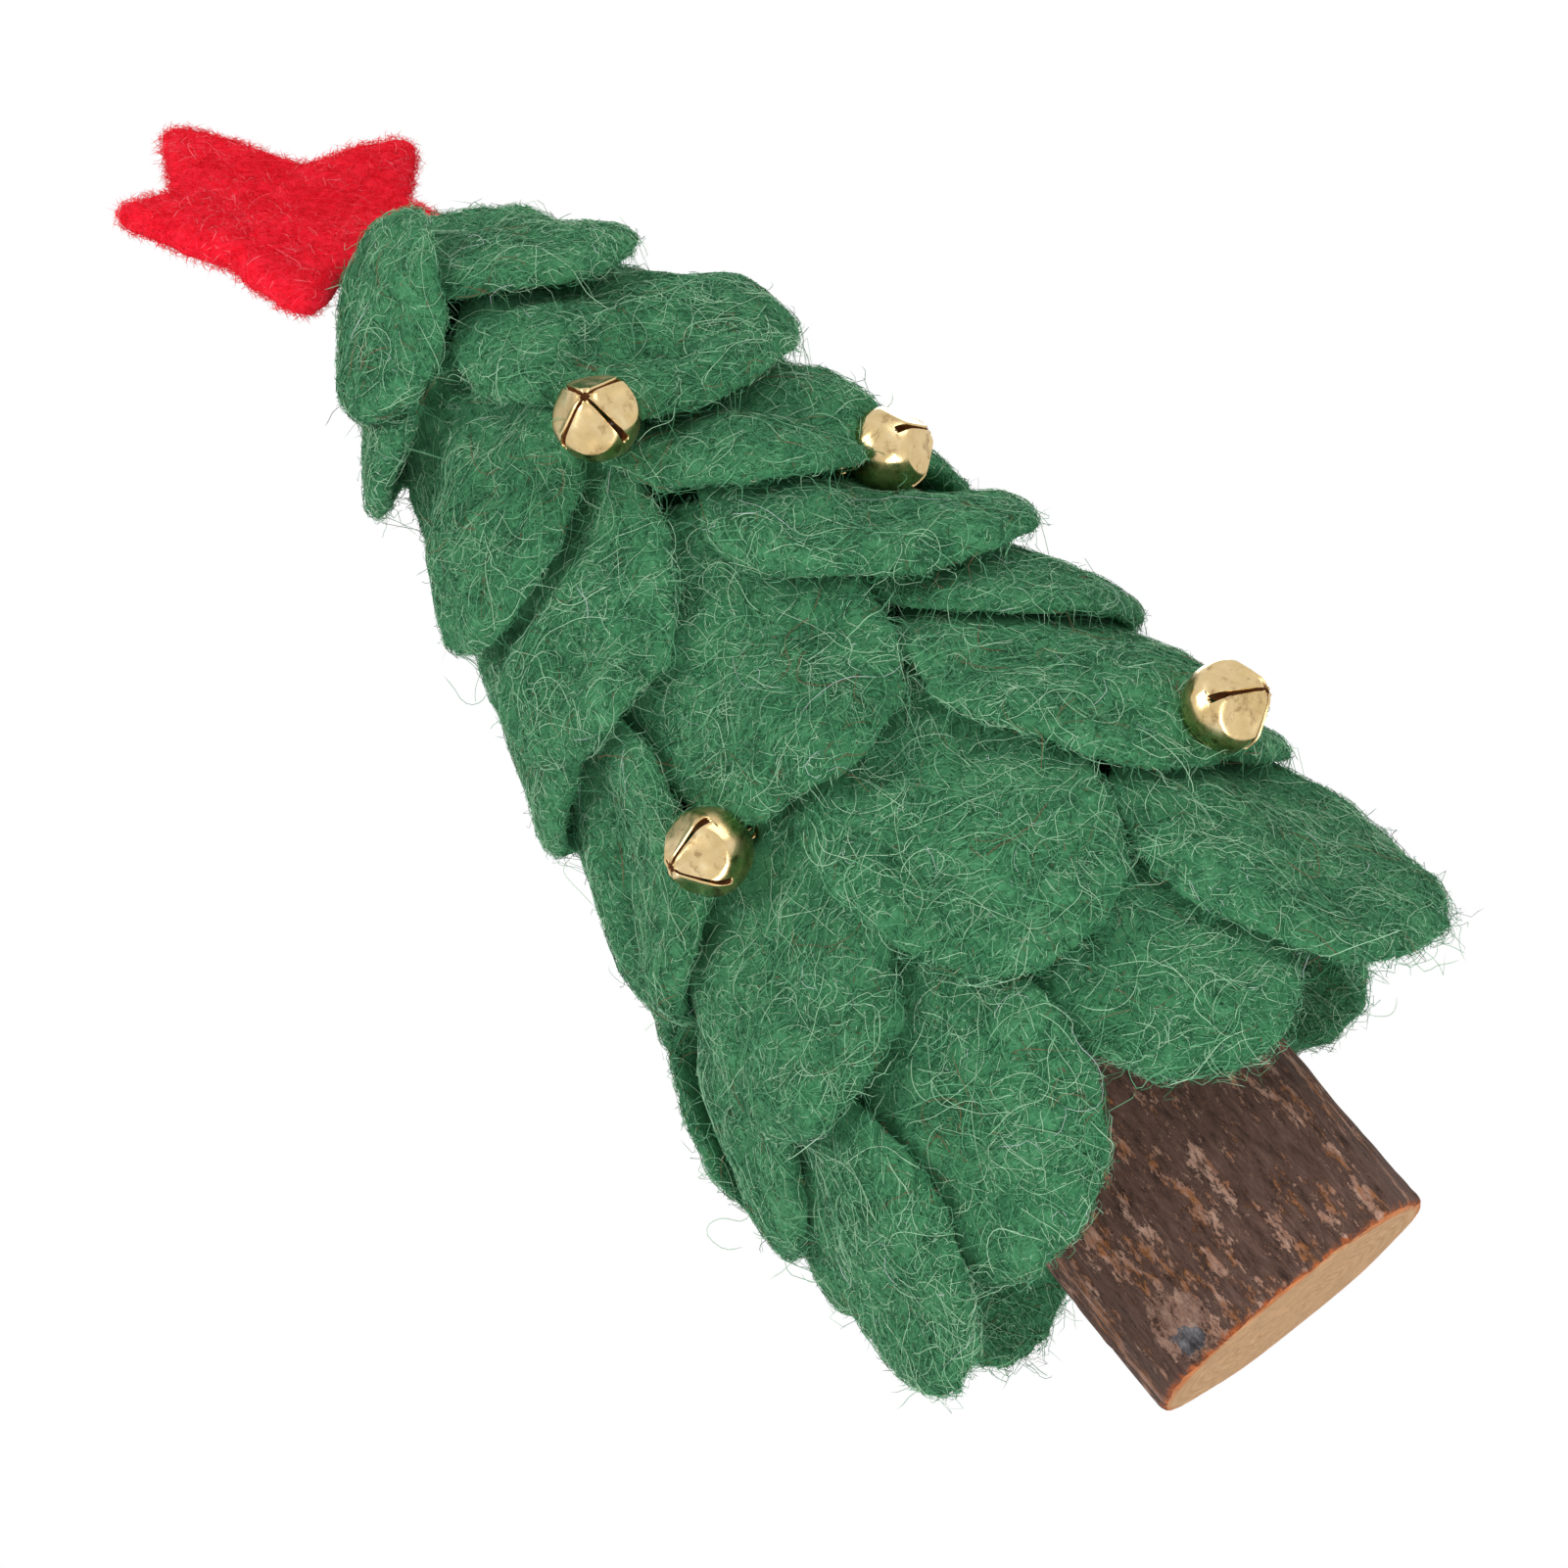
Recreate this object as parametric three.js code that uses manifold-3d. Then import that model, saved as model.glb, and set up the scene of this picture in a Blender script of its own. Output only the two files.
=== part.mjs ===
// A small standing christmas tree. A foam cone sits on a cut branch and is shingled with
// round petals of thick wool felt. Jingle bells are set on the petals, and a felt star
// stands on the tip.
// Lengths are in millimetres and angles in degrees. +Z is up, and the origin is the centre
// of the trunk's foot. Turn 0 round the tree faces -Y, and turn 90 faces +X.

import * as THREE from "three";
import { mergeVertices } from "three/addons/utils/BufferGeometryUtils.js";
import Module from "manifold-3d";

const wasm = await Module();
wasm.setup();

// Trunk: a length of branch with its bark on
const trunkRadius = 18.8;
const trunkLength = 58;
const trunkRimRound = 0.7;
const barkRidgeHeight = 0.4;
const barkRidges = 7;
const trunkSides = 36;

// Foam cone that carries the petals, with a socket for the trunk. Its tip stands a little
// aside of the trunk's axis.
const coneBaseHeight = 35;
const coneTopHeight = 166;
const coneBaseRadius = 37;
const coneTopRadius = 7;
const coneTipShift = -4.5;
const coneEdgeRound = 1.5;
const coneSides = 32;
const fitClearance = 0.3;

// Felt petals
const feltThickness = 2.8;
const petalWidth = 29;
const petalLength = 37;
const petalLift = 2.5;
const petalStiffness = 9;
const petalGap = 0.35;
const petalMostSlope = 0.7;
const petalSectors = 14;
const petalRingShares = [0.45, 0.8, 1];
const petalRimShare = 0.7;
const petalBluntness = 2.2;
const feltThinningShare = 0.36;

// Felt star on the tip
const starRadius = 25.3;
const starTipRound = 4.4;
const starThickness = 2.6;
const starRimBevel = 0.6;

// Jingle bells, each with a loose pellet
const bellRadius = 5;
const bellWall = 0.5;
const bellSlotWidth = 0.9;
const bellSlotHoleRadius = 0.8;
const bellLoopRadius = 0.95;
const bellLoopWire = 0.7;
const bellSides = 16;
const pelletRadius = 1.5;
const pelletClearance = 0.45;

// The relief of what lies under a petal or a bell is read at steps of this size.
const reliefStep = 0.5;
const settlePasses = 80;

// Each petal is a row of turn, height share of its lower end on the cone, width share,
// length share, lift share, roll, and lean share, which is how much further out its right
// side stands. Later petals lie over earlier ones.
const petalRows = {
  hem: [
    [-95, -0.03, 1.06, 0.9, 0.4, 4, 0],
    [-138, -0.12, 1.02, 0.96, 0.8, -4, 0.2],
    [-178, -0.08, 1.05, 0.94, 0.6, 3, -0.2],
    [140, -0.07, 1.02, 0.92, 0.8, -3, 0.1],
    [98, -0.07, 1.06, 0.94, 0.6, 4, 0],
    [20, -0.125, 0.98, 1.14, 0.4, -4, 0],
    [-22, -0.15, 1.05, 1.14, 0.5, 3, 0],
    [51, -0.13, 1.26, 1.12, 1.5, 6, 0.4],
    [-50, -0.175, 0.96, 1.1, 0.8, 12, 0],
  ],
  low: [
    [-74, 0.02, 0.98, 0.96, 1.4, -6, 0],
    [-112, 0.05, 1.04, 0.96, 0.8, 3, 0.2],
    [-155, 0.04, 1.04, 0.96, 0.8, -4, 0],
    [160, 0.05, 1.04, 0.96, 0.8, 4, -0.1],
    [119, 0.06, 1.04, 0.96, 0.8, -3, 0.2],
    [67, 0.085, 1.14, 0.98, 2.4, 4, 0],
    [-37, 0.045, 1.04, 1.22, 0.6, 4, 0.1],
    [8, 0.028, 1.1, 1.24, 0.5, 0, 0],
    [47, 0.09, 1.04, 1.12, 0.7, 8, -0.2],
  ],
  middle: [
    [66, 0.26, 1.18, 0.98, 2.8, 6, 0],
    [122, 0.26, 1.08, 0.96, 0.8, -4, 0.2],
    [168, 0.25, 1.08, 0.96, 0.8, 4, 0],
    [-150, 0.27, 1.08, 0.96, 0.8, -3, -0.1],
    [-106, 0.25, 1.06, 0.96, 0.8, 5, 0.1],
    [-2, 0.275, 1.16, 1.22, 0.5, 0, 0],
    [50, 0.355, 1.16, 1.02, 1, 30, 0.2],
    [-60, 0.235, 1.06, 1.06, 0.9, -6, 0.3],
  ],
  upper: [
    [92, 0.47, 1.04, 0.92, 0.8, 4, 0],
    [140, 0.46, 1.04, 0.94, 0.8, -4, 0.1],
    [-168, 0.48, 1.04, 0.92, 0.8, 3, 0],
    [-126, 0.46, 1.04, 0.94, 0.8, -5, 0],
    [-78, 0.445, 1, 0.92, 0.2, 4, 0],
    [-33, 0.455, 1.06, 1.02, 0.6, -6, 0.1],
    [42, 0.505, 0.96, 1, 0.7, 20, -0.1],
  ],
  high: [
    [150, 0.63, 1.02, 0.92, 0.8, 4, 0],
    [-140, 0.62, 1.02, 0.92, 0.8, -4, 0],
    [100, 0.63, 1, 0.9, 0.7, -5, 0],
    [-38, 0.602, 1.14, 1.08, 0.7, -8, 0],
    [43, 0.622, 1.22, 1.08, 0.8, 14, 0.3],
  ],
  top: [
    [-66, 0.8, 0.86, 0.8, 3.8, -6, 0],
    [135, 0.795, 0.8, 0.76, 0.6, 0, 0],
    [-150, 0.785, 0.8, 0.76, 0.6, 0, 0],
    [44, 0.812, 0.88, 0.76, 0.3, 8, 0.2],
    [-20, 0.826, 0.68, 0.72, 0.4, -44, 0],
  ],
};

// Each bell is a turn, a height share of the cone, and the share of its radius that it sits
// in the felt, then where it points: a turn, a lift, and its roll about its own axis.
const bellPlaces = [
  [8, 0.668, 0.25, 4, 10, 10],
  [60, 0.517, 1.1, 104, -11, 1],
  [-31, 0.305, 0.35, -55, 5, 19],
  [49, 0.112, 0.6, 64, -20, -11],
  [140, 0.4, 0.3, 150, 20, 20],
  [-120, 0.22, 0.3, -110, 8, 35],
  [-140, 0.62, 0.3, -150, 15, 10],
];

// The hand cut star: its tips, and the notches that follow them, going round to the right
const starTipShares = [[-0.04, 1.09], [0.95, 0.32], [0.59, -0.81], [-0.52, -0.83], [-0.77, 0.52]];
const starNotchShares = [[0.28, 0.35], [0.48, -0.2], [0.02, -0.51], [-0.52, -0.2], [-0.38, 0.45]];

// Where the star's centre is, and the way its up arm and its right arm point, as shares
const starCentreShares = [-0.44, 0.12, 0.735];
const starUpShares = [-0.206, 0.369, 0.906];
const starRightShares = [0.798, 0.599, -0.062];

// What follows from the sizes above
const coneHeight = coneTopHeight - coneBaseHeight;
const coneLean = Math.atan((coneBaseRadius - coneTopRadius) / coneHeight);
const coneLeanCos = Math.cos(coneLean);
const coneLeanSin = Math.sin(coneLean);
const socketRadius = trunkRadius + barkRidgeHeight + fitClearance;
const socketTop = trunkLength + fitClearance;
const cavityRadius = bellRadius - bellWall;
const bellLoopOut = bellRadius + bellLoopRadius;
const bellLoopReach = bellLoopOut + bellLoopRadius + bellLoopWire / 2;
const pelletDrop = cavityRadius - pelletRadius - pelletClearance;

const rad = THREE.MathUtils.degToRad;

const feltGreen = new THREE.MeshStandardMaterial({ color: 0x2f8456, roughness: 0.95, metalness: 0 });
const feltRed = new THREE.MeshStandardMaterial({ color: 0xe81c30, roughness: 0.95, metalness: 0 });
const barkBrown = new THREE.MeshStandardMaterial({ color: 0x53403a, roughness: 0.9, metalness: 0 });
const foamGreen = new THREE.MeshStandardMaterial({ color: 0x1f4a33, roughness: 1, metalness: 0 });
const brass = new THREE.MeshStandardMaterial({ color: 0xc9aa69, roughness: 0.25, metalness: 1 });
const steel = new THREE.MeshStandardMaterial({ color: 0x9a9a9a, roughness: 0.35, metalness: 1 });

// Outward direction at a turn round the tree
function outwardAt(turn) {
  return new THREE.Vector3(Math.sin(turn), -Math.cos(turn), 0);
}

// Radius of the cone's side, carried on below its base and above its tip
function coneRadiusAt(height) {
  const share = (height - coneBaseHeight) / coneHeight;
  return Math.max(THREE.MathUtils.lerp(coneBaseRadius, coneTopRadius, share), 0);
}

// How far the cone's middle stands aside at a height
function coneShiftAt(height) {
  return (coneTipShift * Math.max(height - socketTop, 0)) / (coneTopHeight - socketTop);
}

// A point on the cone with its three directions: out of the side, up the slope, and right
function frameOnCone(turn, height, out) {
  const away = outwardAt(turn);
  const radius = coneRadiusAt(height) + out / coneLeanCos;
  const base = away.clone().multiplyScalar(radius).setZ(height);
  base.x += coneShiftAt(height);
  return {
    base,
    out: away.clone().multiplyScalar(coneLeanCos).setZ(coneLeanSin),
    up: away.clone().multiplyScalar(-coneLeanSin).setZ(coneLeanCos),
    right: new THREE.Vector3(Math.cos(turn), Math.sin(turn), 0),
  };
}

// A closed geometry as a solid that can be joined and cut
function solidOf(geometry) {
  const bare = geometry.clone();
  bare.deleteAttribute("normal");
  bare.deleteAttribute("uv");
  const merged = mergeVertices(bare);
  const vertProperties = merged.attributes.position.array;
  const triVerts = new Uint32Array(merged.index.array);
  return new wasm.Manifold(new wasm.Mesh({ numProp: 3, vertProperties, triVerts }));
}

function geometryOf(solid) {
  const mesh = solid.getMesh();
  const geometry = new THREE.BufferGeometry();
  geometry.setAttribute("position", new THREE.BufferAttribute(mesh.vertProperties, mesh.numProp));
  geometry.setIndex(new THREE.BufferAttribute(mesh.triVerts, 1));
  return geometry;
}

function shellFrom(points, faces) {
  const geometry = new THREE.BufferGeometry().setFromPoints(points);
  geometry.setIndex(faces.flat());
  return geometry;
}

// Triangles of the outer surfaces laid so far
const laidTriangles = [];

function layTriangles(geometry) {
  const { position } = geometry.attributes;
  const order = geometry.index ? geometry.index.array : [...Array(position.count).keys()];
  const points = Array.from(order, (index) => new THREE.Vector3().fromBufferAttribute(position, index));
  for (let first = 0; first < points.length; first += 3) laidTriangles.push(points.slice(first, first + 3));
}

// A point as its places along a frame's right, up and out directions
function inFrame(frame, point) {
  const away = point.clone().sub(frame.base);
  return new THREE.Vector3(away.dot(frame.right), away.dot(frame.up), away.dot(frame.out));
}

function fromFrame(frame, { x, y, z }) {
  return frame.base
    .clone()
    .addScaledVector(frame.right, x)
    .addScaledVector(frame.up, y)
    .addScaledVector(frame.out, z);
}

// Calls visit(column, row, height, weights) for each step of the relief under a triangle
function visitSteps([a, b, c], visit) {
  const area = (b.x - a.x) * (c.y - a.y) - (c.x - a.x) * (b.y - a.y);
  if (area === 0) return;
  const lowest = (key) => Math.ceil(Math.min(a[key], b[key], c[key]) / reliefStep);
  const highest = (key) => Math.floor(Math.max(a[key], b[key], c[key]) / reliefStep);
  for (let row = lowest("y"); row <= highest("y"); row += 1) {
    for (let column = lowest("x"); column <= highest("x"); column += 1) {
      const x = column * reliefStep - a.x;
      const y = row * reliefStep - a.y;
      const second = (x * (c.y - a.y) - y * (c.x - a.x)) / area;
      const third = (y * (b.x - a.x) - x * (b.y - a.y)) / area;
      const first = 1 - second - third;
      if (first < 0 || second < 0 || third < 0) continue;
      visit(column, row, first * a.z + second * b.z + third * c.z, [first, second, third]);
    }
  }
}

// How far out everything laid so far reaches, seen along a frame's out direction. Each step
// holds the most of itself and its neighbours.
function reliefIn(frame, reach) {
  const half = Math.ceil(reach / reliefStep) + 1;
  const width = 2 * half + 1;
  const heights = new Float64Array(width * width).fill(-Infinity);
  for (const triangle of laidTriangles) {
    const local = triangle.map((point) => inFrame(frame, point));
    const outside = ["x", "y"].some(
      (key) => local.every((p) => p[key] > reach) || local.every((p) => p[key] < -reach),
    );
    if (outside) continue;
    visitSteps(local, (column, row, height) => {
      for (let y = Math.max(row - 1, -half); y <= Math.min(row + 1, half); y += 1) {
        for (let x = Math.max(column - 1, -half); x <= Math.min(column + 1, half); x += 1) {
          const place = (y + half) * width + x + half;
          heights[place] = Math.max(heights[place], height);
        }
      }
    });
  }
  return (column, row) => {
    if (Math.abs(column) > half || Math.abs(row) > half) return -Infinity;
    return heights[(row + half) * width + column + half];
  };
}

// A disc's net: its centre, then rings of points, as places on a unit disc
function discNet(ringShares, sectors) {
  const places = [[0, 0]];
  for (const share of ringShares) {
    for (let sector = 0; sector < sectors; sector += 1) {
      const angle = (2 * Math.PI * sector) / sectors;
      places.push([share * Math.cos(angle), share * Math.sin(angle)]);
    }
  }
  const faces = [];
  for (let sector = 0; sector < sectors; sector += 1) {
    faces.push([0, 1 + sector, 1 + ((sector + 1) % sectors)]);
  }
  for (let ring = 1; ring < ringShares.length; ring += 1) {
    faces.push(...ringStrip(1 + (ring - 1) * sectors, 1 + ring * sectors, sectors));
  }
  return { places, faces };
}

// Triangles between two rings of points that start at the given numbers
function ringStrip(inner, outer, sectors) {
  const faces = [];
  for (let sector = 0; sector < sectors; sector += 1) {
    const next = (sector + 1) % sectors;
    faces.push([inner + sector, outer + sector, outer + next]);
    faces.push([inner + sector, outer + next, inner + next]);
  }
  return faces;
}

const petalNet = discNet(petalRingShares, petalSectors);
const petalEdges = petalNet.faces.flatMap(([a, b, c]) => [[a, b], [b, c], [c, a]]);

// A place on the unit disc moved out to the blunter oval that petals are cut to
function bluntPlace([x, y]) {
  const reach = Math.hypot(x, y);
  if (reach === 0) return [x, y];
  const powers = Math.abs(x) ** petalBluntness + Math.abs(y) ** petalBluntness;
  const stretch = reach / powers ** (1 / petalBluntness);
  return [x * stretch, y * stretch];
}

// The underside of a petal in its frame, as it would lie on the bare cone
function petalRest([, , widthShare, lengthShare, liftShare, roll, leanShare], bend) {
  return petalNet.places.map(bluntPlace).map(([x, y]) => {
    const across = (x * petalWidth * widthShare) / 2;
    const along = (y * petalLength * lengthShare) / 2;
    const side = across * Math.cos(rad(roll)) - along * Math.sin(rad(roll));
    const rise = across * Math.sin(rad(roll)) + along * Math.cos(rad(roll));
    const drop = (1 - y) / 2;
    const lift = petalLift * (liftShare * drop ** 2 + leanShare * x * drop);
    const sag = bend * (1 - Math.cos(side / bend));
    return new THREE.Vector3(bend * Math.sin(side / bend), rise, lift - sag);
  });
}

// Raises a petal's underside where it would cut what lies below it, as felt drapes
function settlePetal(points, relief) {
  for (let pass = 0; pass < settlePasses; pass += 1) {
    const need = new Float64Array(points.length);
    for (const face of petalNet.faces) {
      visitSteps(face.map((index) => points[index]), (column, row, height, weights) => {
        const lack = relief(column, row) + petalGap - height;
        if (lack <= 0) return;
        const spread = weights.reduce((sum, weight) => sum + weight * weight, 0);
        face.forEach((index, k) => {
          need[index] = Math.max(need[index], (lack * weights[k]) / spread);
        });
      });
    }
    if (!need.some((value) => value > 0)) break;
    spreadRaise(points, need);
    points.forEach((point, index) => {
      point.z += need[index];
    });
  }
  const slack = leastRoom(points, relief) - petalGap;
  for (const point of points) point.z -= slack;
}

// The least room between a petal's underside and what lies below it
function leastRoom(points, relief) {
  let room = Infinity;
  for (const face of petalNet.faces) {
    visitSteps(face.map((index) => points[index]), (column, row, height) => {
      room = Math.min(room, height - relief(column, row));
    });
  }
  return room;
}

// Carries each point's raise on to its neighbours, less the most slope that felt takes
function spreadRaise(points, raise) {
  for (const [from, to] of [...petalEdges, ...petalEdges]) {
    const reach = petalMostSlope * Math.hypot(points[to].x - points[from].x, points[to].y - points[from].y);
    raise[to] = Math.max(raise[to], raise[from] - reach);
    raise[from] = Math.max(raise[from], raise[to] - reach);
  }
}

// Directions out of a sheet at each of its points
function sheetNormals(points, faces) {
  const normals = points.map(() => new THREE.Vector3());
  for (const [a, b, c] of faces) {
    const ab = points[b].clone().sub(points[a]);
    const normal = ab.cross(points[c].clone().sub(points[a]));
    for (const index of [a, b, c]) normals[index].add(normal);
  }
  return normals.map((normal) => normal.normalize());
}

// How much thinner the felt is at a point of the net, as a share: it thins towards the rim
function thinningAt(index) {
  const ring = Math.floor((index - 1 + petalSectors) / petalSectors);
  return ring === 0 ? 0 : feltThinningShare * petalRingShares[ring - 1] ** 3;
}

// Closes a settled underside into a petal of felt with a rounded rim
function thickenPetal(under) {
  const normals = sheetNormals(under, petalNet.faces);
  const count = under.length;
  const rimStart = count - petalSectors;
  const innerStart = rimStart - petalSectors;
  const inset = under.map((point, index) => {
    if (index < rimStart) return point.clone();
    return under[index - petalSectors].clone().lerp(point, petalRimShare);
  });
  const top = inset.map((point, index) => {
    const normal = index < rimStart ? normals[index] : normals[index].clone().lerp(
      normals[index - rimStart + innerStart], 1 - petalRimShare).normalize();
    return point.clone().addScaledVector(normal, feltThickness * (1 - thinningAt(index)));
  });
  const rimThickness = feltThickness * (1 - feltThinningShare);
  const rim = under.slice(rimStart).map((point, index) => {
    return point.clone().addScaledVector(normals[rimStart + index], rimThickness / 2);
  });
  const points = [...inset, ...top, ...rim];
  const faces = [
    ...petalNet.faces.map(([a, b, c]) => [a, c, b]),
    ...petalNet.faces.map((face) => face.map((index) => index + count)),
    ...ringStrip(2 * count, rimStart, petalSectors),
    ...ringStrip(count + rimStart, 2 * count, petalSectors),
  ];
  const outer = [
    ...petalNet.faces.map((face) => face.map((index) => index + count)),
    ...ringStrip(count + rimStart, 2 * count, petalSectors),
  ];
  return { points, faces, outer };
}

// Lays every petal in turn on what is there, and returns their names and geometries
function layPetals() {
  const petals = [];
  for (const [row, places] of Object.entries(petalRows)) {
    places.forEach((place, index) => {
      const [turn, heightShare, , lengthShare] = place;
      const length = petalLength * lengthShare;
      const height = coneBaseHeight + heightShare * coneHeight + (length / 2) * coneLeanCos;
      const frame = frameOnCone(rad(turn), height, petalGap);
      const points = petalRest(place, coneRadiusAt(height) + petalStiffness);
      settlePetal(points, reliefIn(frame, Math.max(petalWidth, petalLength)));
      const petal = thickenPetal(points.map((point) => fromFrame(frame, point)));
      layTriangles(shellFrom(petal.points, petal.outer));
      petals.push({ name: `${row}_petal_${index + 1}`, geometry: shellFrom(petal.points, petal.faces) });
    });
  }
  return petals;
}

function makeTrunk() {
  const radiusAt = (angle) => trunkRadius + barkRidgeHeight * Math.sin(barkRidges * angle);
  const outline = new THREE.Shape();
  for (let side = 0; side < trunkSides; side += 1) {
    const angle = (2 * Math.PI * side) / trunkSides;
    const reach = radiusAt(angle) - trunkRimRound;
    const point = [reach * Math.cos(angle), reach * Math.sin(angle)];
    if (side === 0) outline.moveTo(...point);
    else outline.lineTo(...point);
  }
  outline.closePath();
  const geometry = new THREE.ExtrudeGeometry(outline, {
    depth: trunkLength - 2 * trunkRimRound,
    bevelSize: trunkRimRound,
    bevelThickness: trunkRimRound,
    bevelSegments: 2,
  });
  return geometry.translate(0, 0, trunkRimRound);
}

function makeCone() {
  const side = new THREE.Vector2(-coneLeanSin, coneLeanCos).multiplyScalar(coneEdgeRound);
  const profile = [
    new THREE.Vector2(0, socketTop),
    new THREE.Vector2(socketRadius, socketTop),
    new THREE.Vector2(socketRadius, coneBaseHeight),
    new THREE.Vector2(coneBaseRadius - coneEdgeRound, coneBaseHeight),
    new THREE.Vector2(coneBaseRadius, coneBaseHeight).add(side),
    new THREE.Vector2(coneRadiusAt(socketTop), socketTop),
    new THREE.Vector2(coneTopRadius, coneTopHeight).sub(side),
    new THREE.Vector2(Math.max(coneTopRadius - coneEdgeRound, 0), coneTopHeight),
    new THREE.Vector2(0, coneTopHeight),
  ];
  const geometry = new THREE.LatheGeometry(profile, coneSides).rotateX(Math.PI / 2);
  const { position } = geometry.attributes;
  for (let index = 0; index < position.count; index += 1) {
    position.setX(index, position.getX(index) + coneShiftAt(position.getZ(index)));
  }
  return geometry;
}

// The star's outline, with its tips rounded
function starOutline() {
  const outline = new THREE.Shape();
  const tips = starTipShares.map(([x, y]) => new THREE.Vector2(x, y).multiplyScalar(starRadius));
  const notches = starNotchShares.map(([x, y]) => new THREE.Vector2(x, y).multiplyScalar(starRadius));
  tips.forEach((tip, arm) => {
    const before = notches.at(arm - 1);
    const after = notches[arm];
    const into = tip.clone().lerp(before, starTipRound / tip.distanceTo(before));
    const from = tip.clone().lerp(after, starTipRound / tip.distanceTo(after));
    if (arm === 0) outline.moveTo(before.x, before.y);
    outline.lineTo(into.x, into.y);
    outline.quadraticCurveTo(tip.x, tip.y, from.x, from.y);
    outline.lineTo(after.x, after.y);
  });
  return outline;
}

// The star where it stands, grown on every side by a clearance
function makeStar(clearance) {
  const depth = starThickness - 2 * starRimBevel + 2 * clearance;
  const geometry = new THREE.ExtrudeGeometry(starOutline(), {
    depth,
    bevelSize: starRimBevel,
    bevelOffset: clearance - starRimBevel,
    bevelThickness: starRimBevel,
    bevelSegments: 2,
    curveSegments: 4,
  });
  geometry.translate(0, 0, -depth / 2);
  const up = new THREE.Vector3(...starUpShares).normalize();
  const right = new THREE.Vector3(...starRightShares);
  const face = right.clone().cross(up).normalize();
  right.crossVectors(up, face);
  geometry.applyMatrix4(new THREE.Matrix4().makeBasis(right, up, face));
  const [x, y, z] = starCentreShares.map((share) => share * starRadius);
  return geometry.translate(x, y, coneTopHeight + z);
}

// The ball's half outline, from its back pole to its front pole, for turning about an axis
function ballGeometry(radius, sides) {
  const profile = [];
  const steps = sides / 2;
  for (let step = 0; step <= steps; step += 1) {
    const angle = (Math.PI * step) / steps - Math.PI / 2;
    const reach = step % steps === 0 ? 0 : radius * Math.cos(angle);
    profile.push(new THREE.Vector2(reach, radius * Math.sin(angle)));
  }
  return new THREE.LatheGeometry(profile, sides).rotateX(Math.PI / 2);
}

// A jingle bell's shell, with its crossed slots at +Z and its loop at -Z
function makeBellShell() {
  const loop = new THREE.TorusGeometry(bellLoopRadius, bellLoopWire / 2, 6, 10);
  loop.rotateX(Math.PI / 2).translate(0, 0, -bellLoopOut);
  let shell = solidOf(ballGeometry(bellRadius, bellSides));
  shell = shell.add(solidOf(loop)).subtract(solidOf(ballGeometry(cavityRadius, bellSides - 4)));
  const across = 2 * bellRadius + bellWall;
  const slot = new THREE.BoxGeometry(across, bellSlotWidth, across).translate(0, 0, across / 2);
  const hole = new THREE.CylinderGeometry(bellSlotHoleRadius, bellSlotHoleRadius, across, 8);
  for (let turn = 0; turn < 2; turn += 1) {
    const angle = (Math.PI / 2) * turn;
    shell = shell.subtract(solidOf(slot.clone().rotateZ(angle)));
    shell = shell.subtract(solidOf(hole.clone().rotateZ(angle)));
  }
  return shell;
}

// How far out of its frame a bell's centre lies when it rests on the petals
function bellSeat(frame) {
  const clear = bellRadius + petalGap;
  const relief = reliefIn(frame, clear);
  const half = Math.ceil(clear / reliefStep);
  let out = clear;
  for (let row = -half; row <= half; row += 1) {
    for (let column = -half; column <= half; column += 1) {
      const aside = (column ** 2 + row ** 2) * reliefStep ** 2;
      if (aside >= clear ** 2) continue;
      out = Math.max(out, relief(column, row) + Math.sqrt(clear ** 2 - aside));
    }
  }
  return out;
}

// Which way a bell points, as the columns of a matrix
function aimOf(turn, lift, roll) {
  const level = Math.cos(rad(lift));
  const out = new THREE.Vector3(level * Math.sin(rad(turn)), -level * Math.cos(rad(turn)), Math.sin(rad(lift)));
  const up = new THREE.Vector3(0, 0, 1).addScaledVector(out, -out.z).normalize();
  const right = up.clone().cross(out);
  const matrix = new THREE.Matrix4().makeBasis(right, up, out);
  return matrix.multiply(new THREE.Matrix4().makeRotationZ(rad(roll)));
}

function bellMatrices() {
  return bellPlaces.map(([turn, heightShare, sunkShare, ...aim]) => {
    const frame = frameOnCone(rad(turn), coneBaseHeight + heightShare * coneHeight, 0);
    const out = bellSeat(frame) - sunkShare * bellRadius;
    return aimOf(...aim).setPosition(frame.base.addScaledVector(frame.out, out));
  });
}

// Room for what is set into the felt and the foam: each bell and its loop, and the star's edge
function roomsFor(matrices) {
  const radius = bellLoopRadius + bellLoopWire / 2 + fitClearance;
  const length = bellLoopReach + fitClearance;
  const hole = new THREE.CylinderGeometry(radius, radius, length, 8).rotateX(Math.PI / 2);
  hole.translate(0, 0, -length / 2);
  const ball = ballGeometry(bellRadius + fitClearance, bellSides);
  const room = solidOf(hole).add(solidOf(ball));
  return [...matrices.map((matrix) => room.transform(matrix.elements)), solidOf(makeStar(fitClearance))];
}

function cutRooms(geometry, rooms) {
  const solid = solidOf(geometry);
  const cut = rooms.reduce((rest, room) => rest.subtract(room), solid);
  return cut.volume() === solid.volume() ? geometry : geometryOf(cut);
}

const tree = new THREE.Group();

function addMesh(name, geometry, material) {
  const mesh = new THREE.Mesh(geometry, material);
  mesh.name = name;
  tree.add(mesh);
  return mesh;
}

const cone = makeCone();
layTriangles(cone);
const petals = layPetals();
const matrices = bellMatrices();
const rooms = roomsFor(matrices);

addMesh("log_trunk", makeTrunk(), barkBrown);
addMesh("foam_cone", cutRooms(cone, rooms), foamGreen);
for (const { name, geometry } of petals) addMesh(name, cutRooms(geometry, rooms), feltGreen);
addMesh("star", makeStar(0), feltRed);

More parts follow.
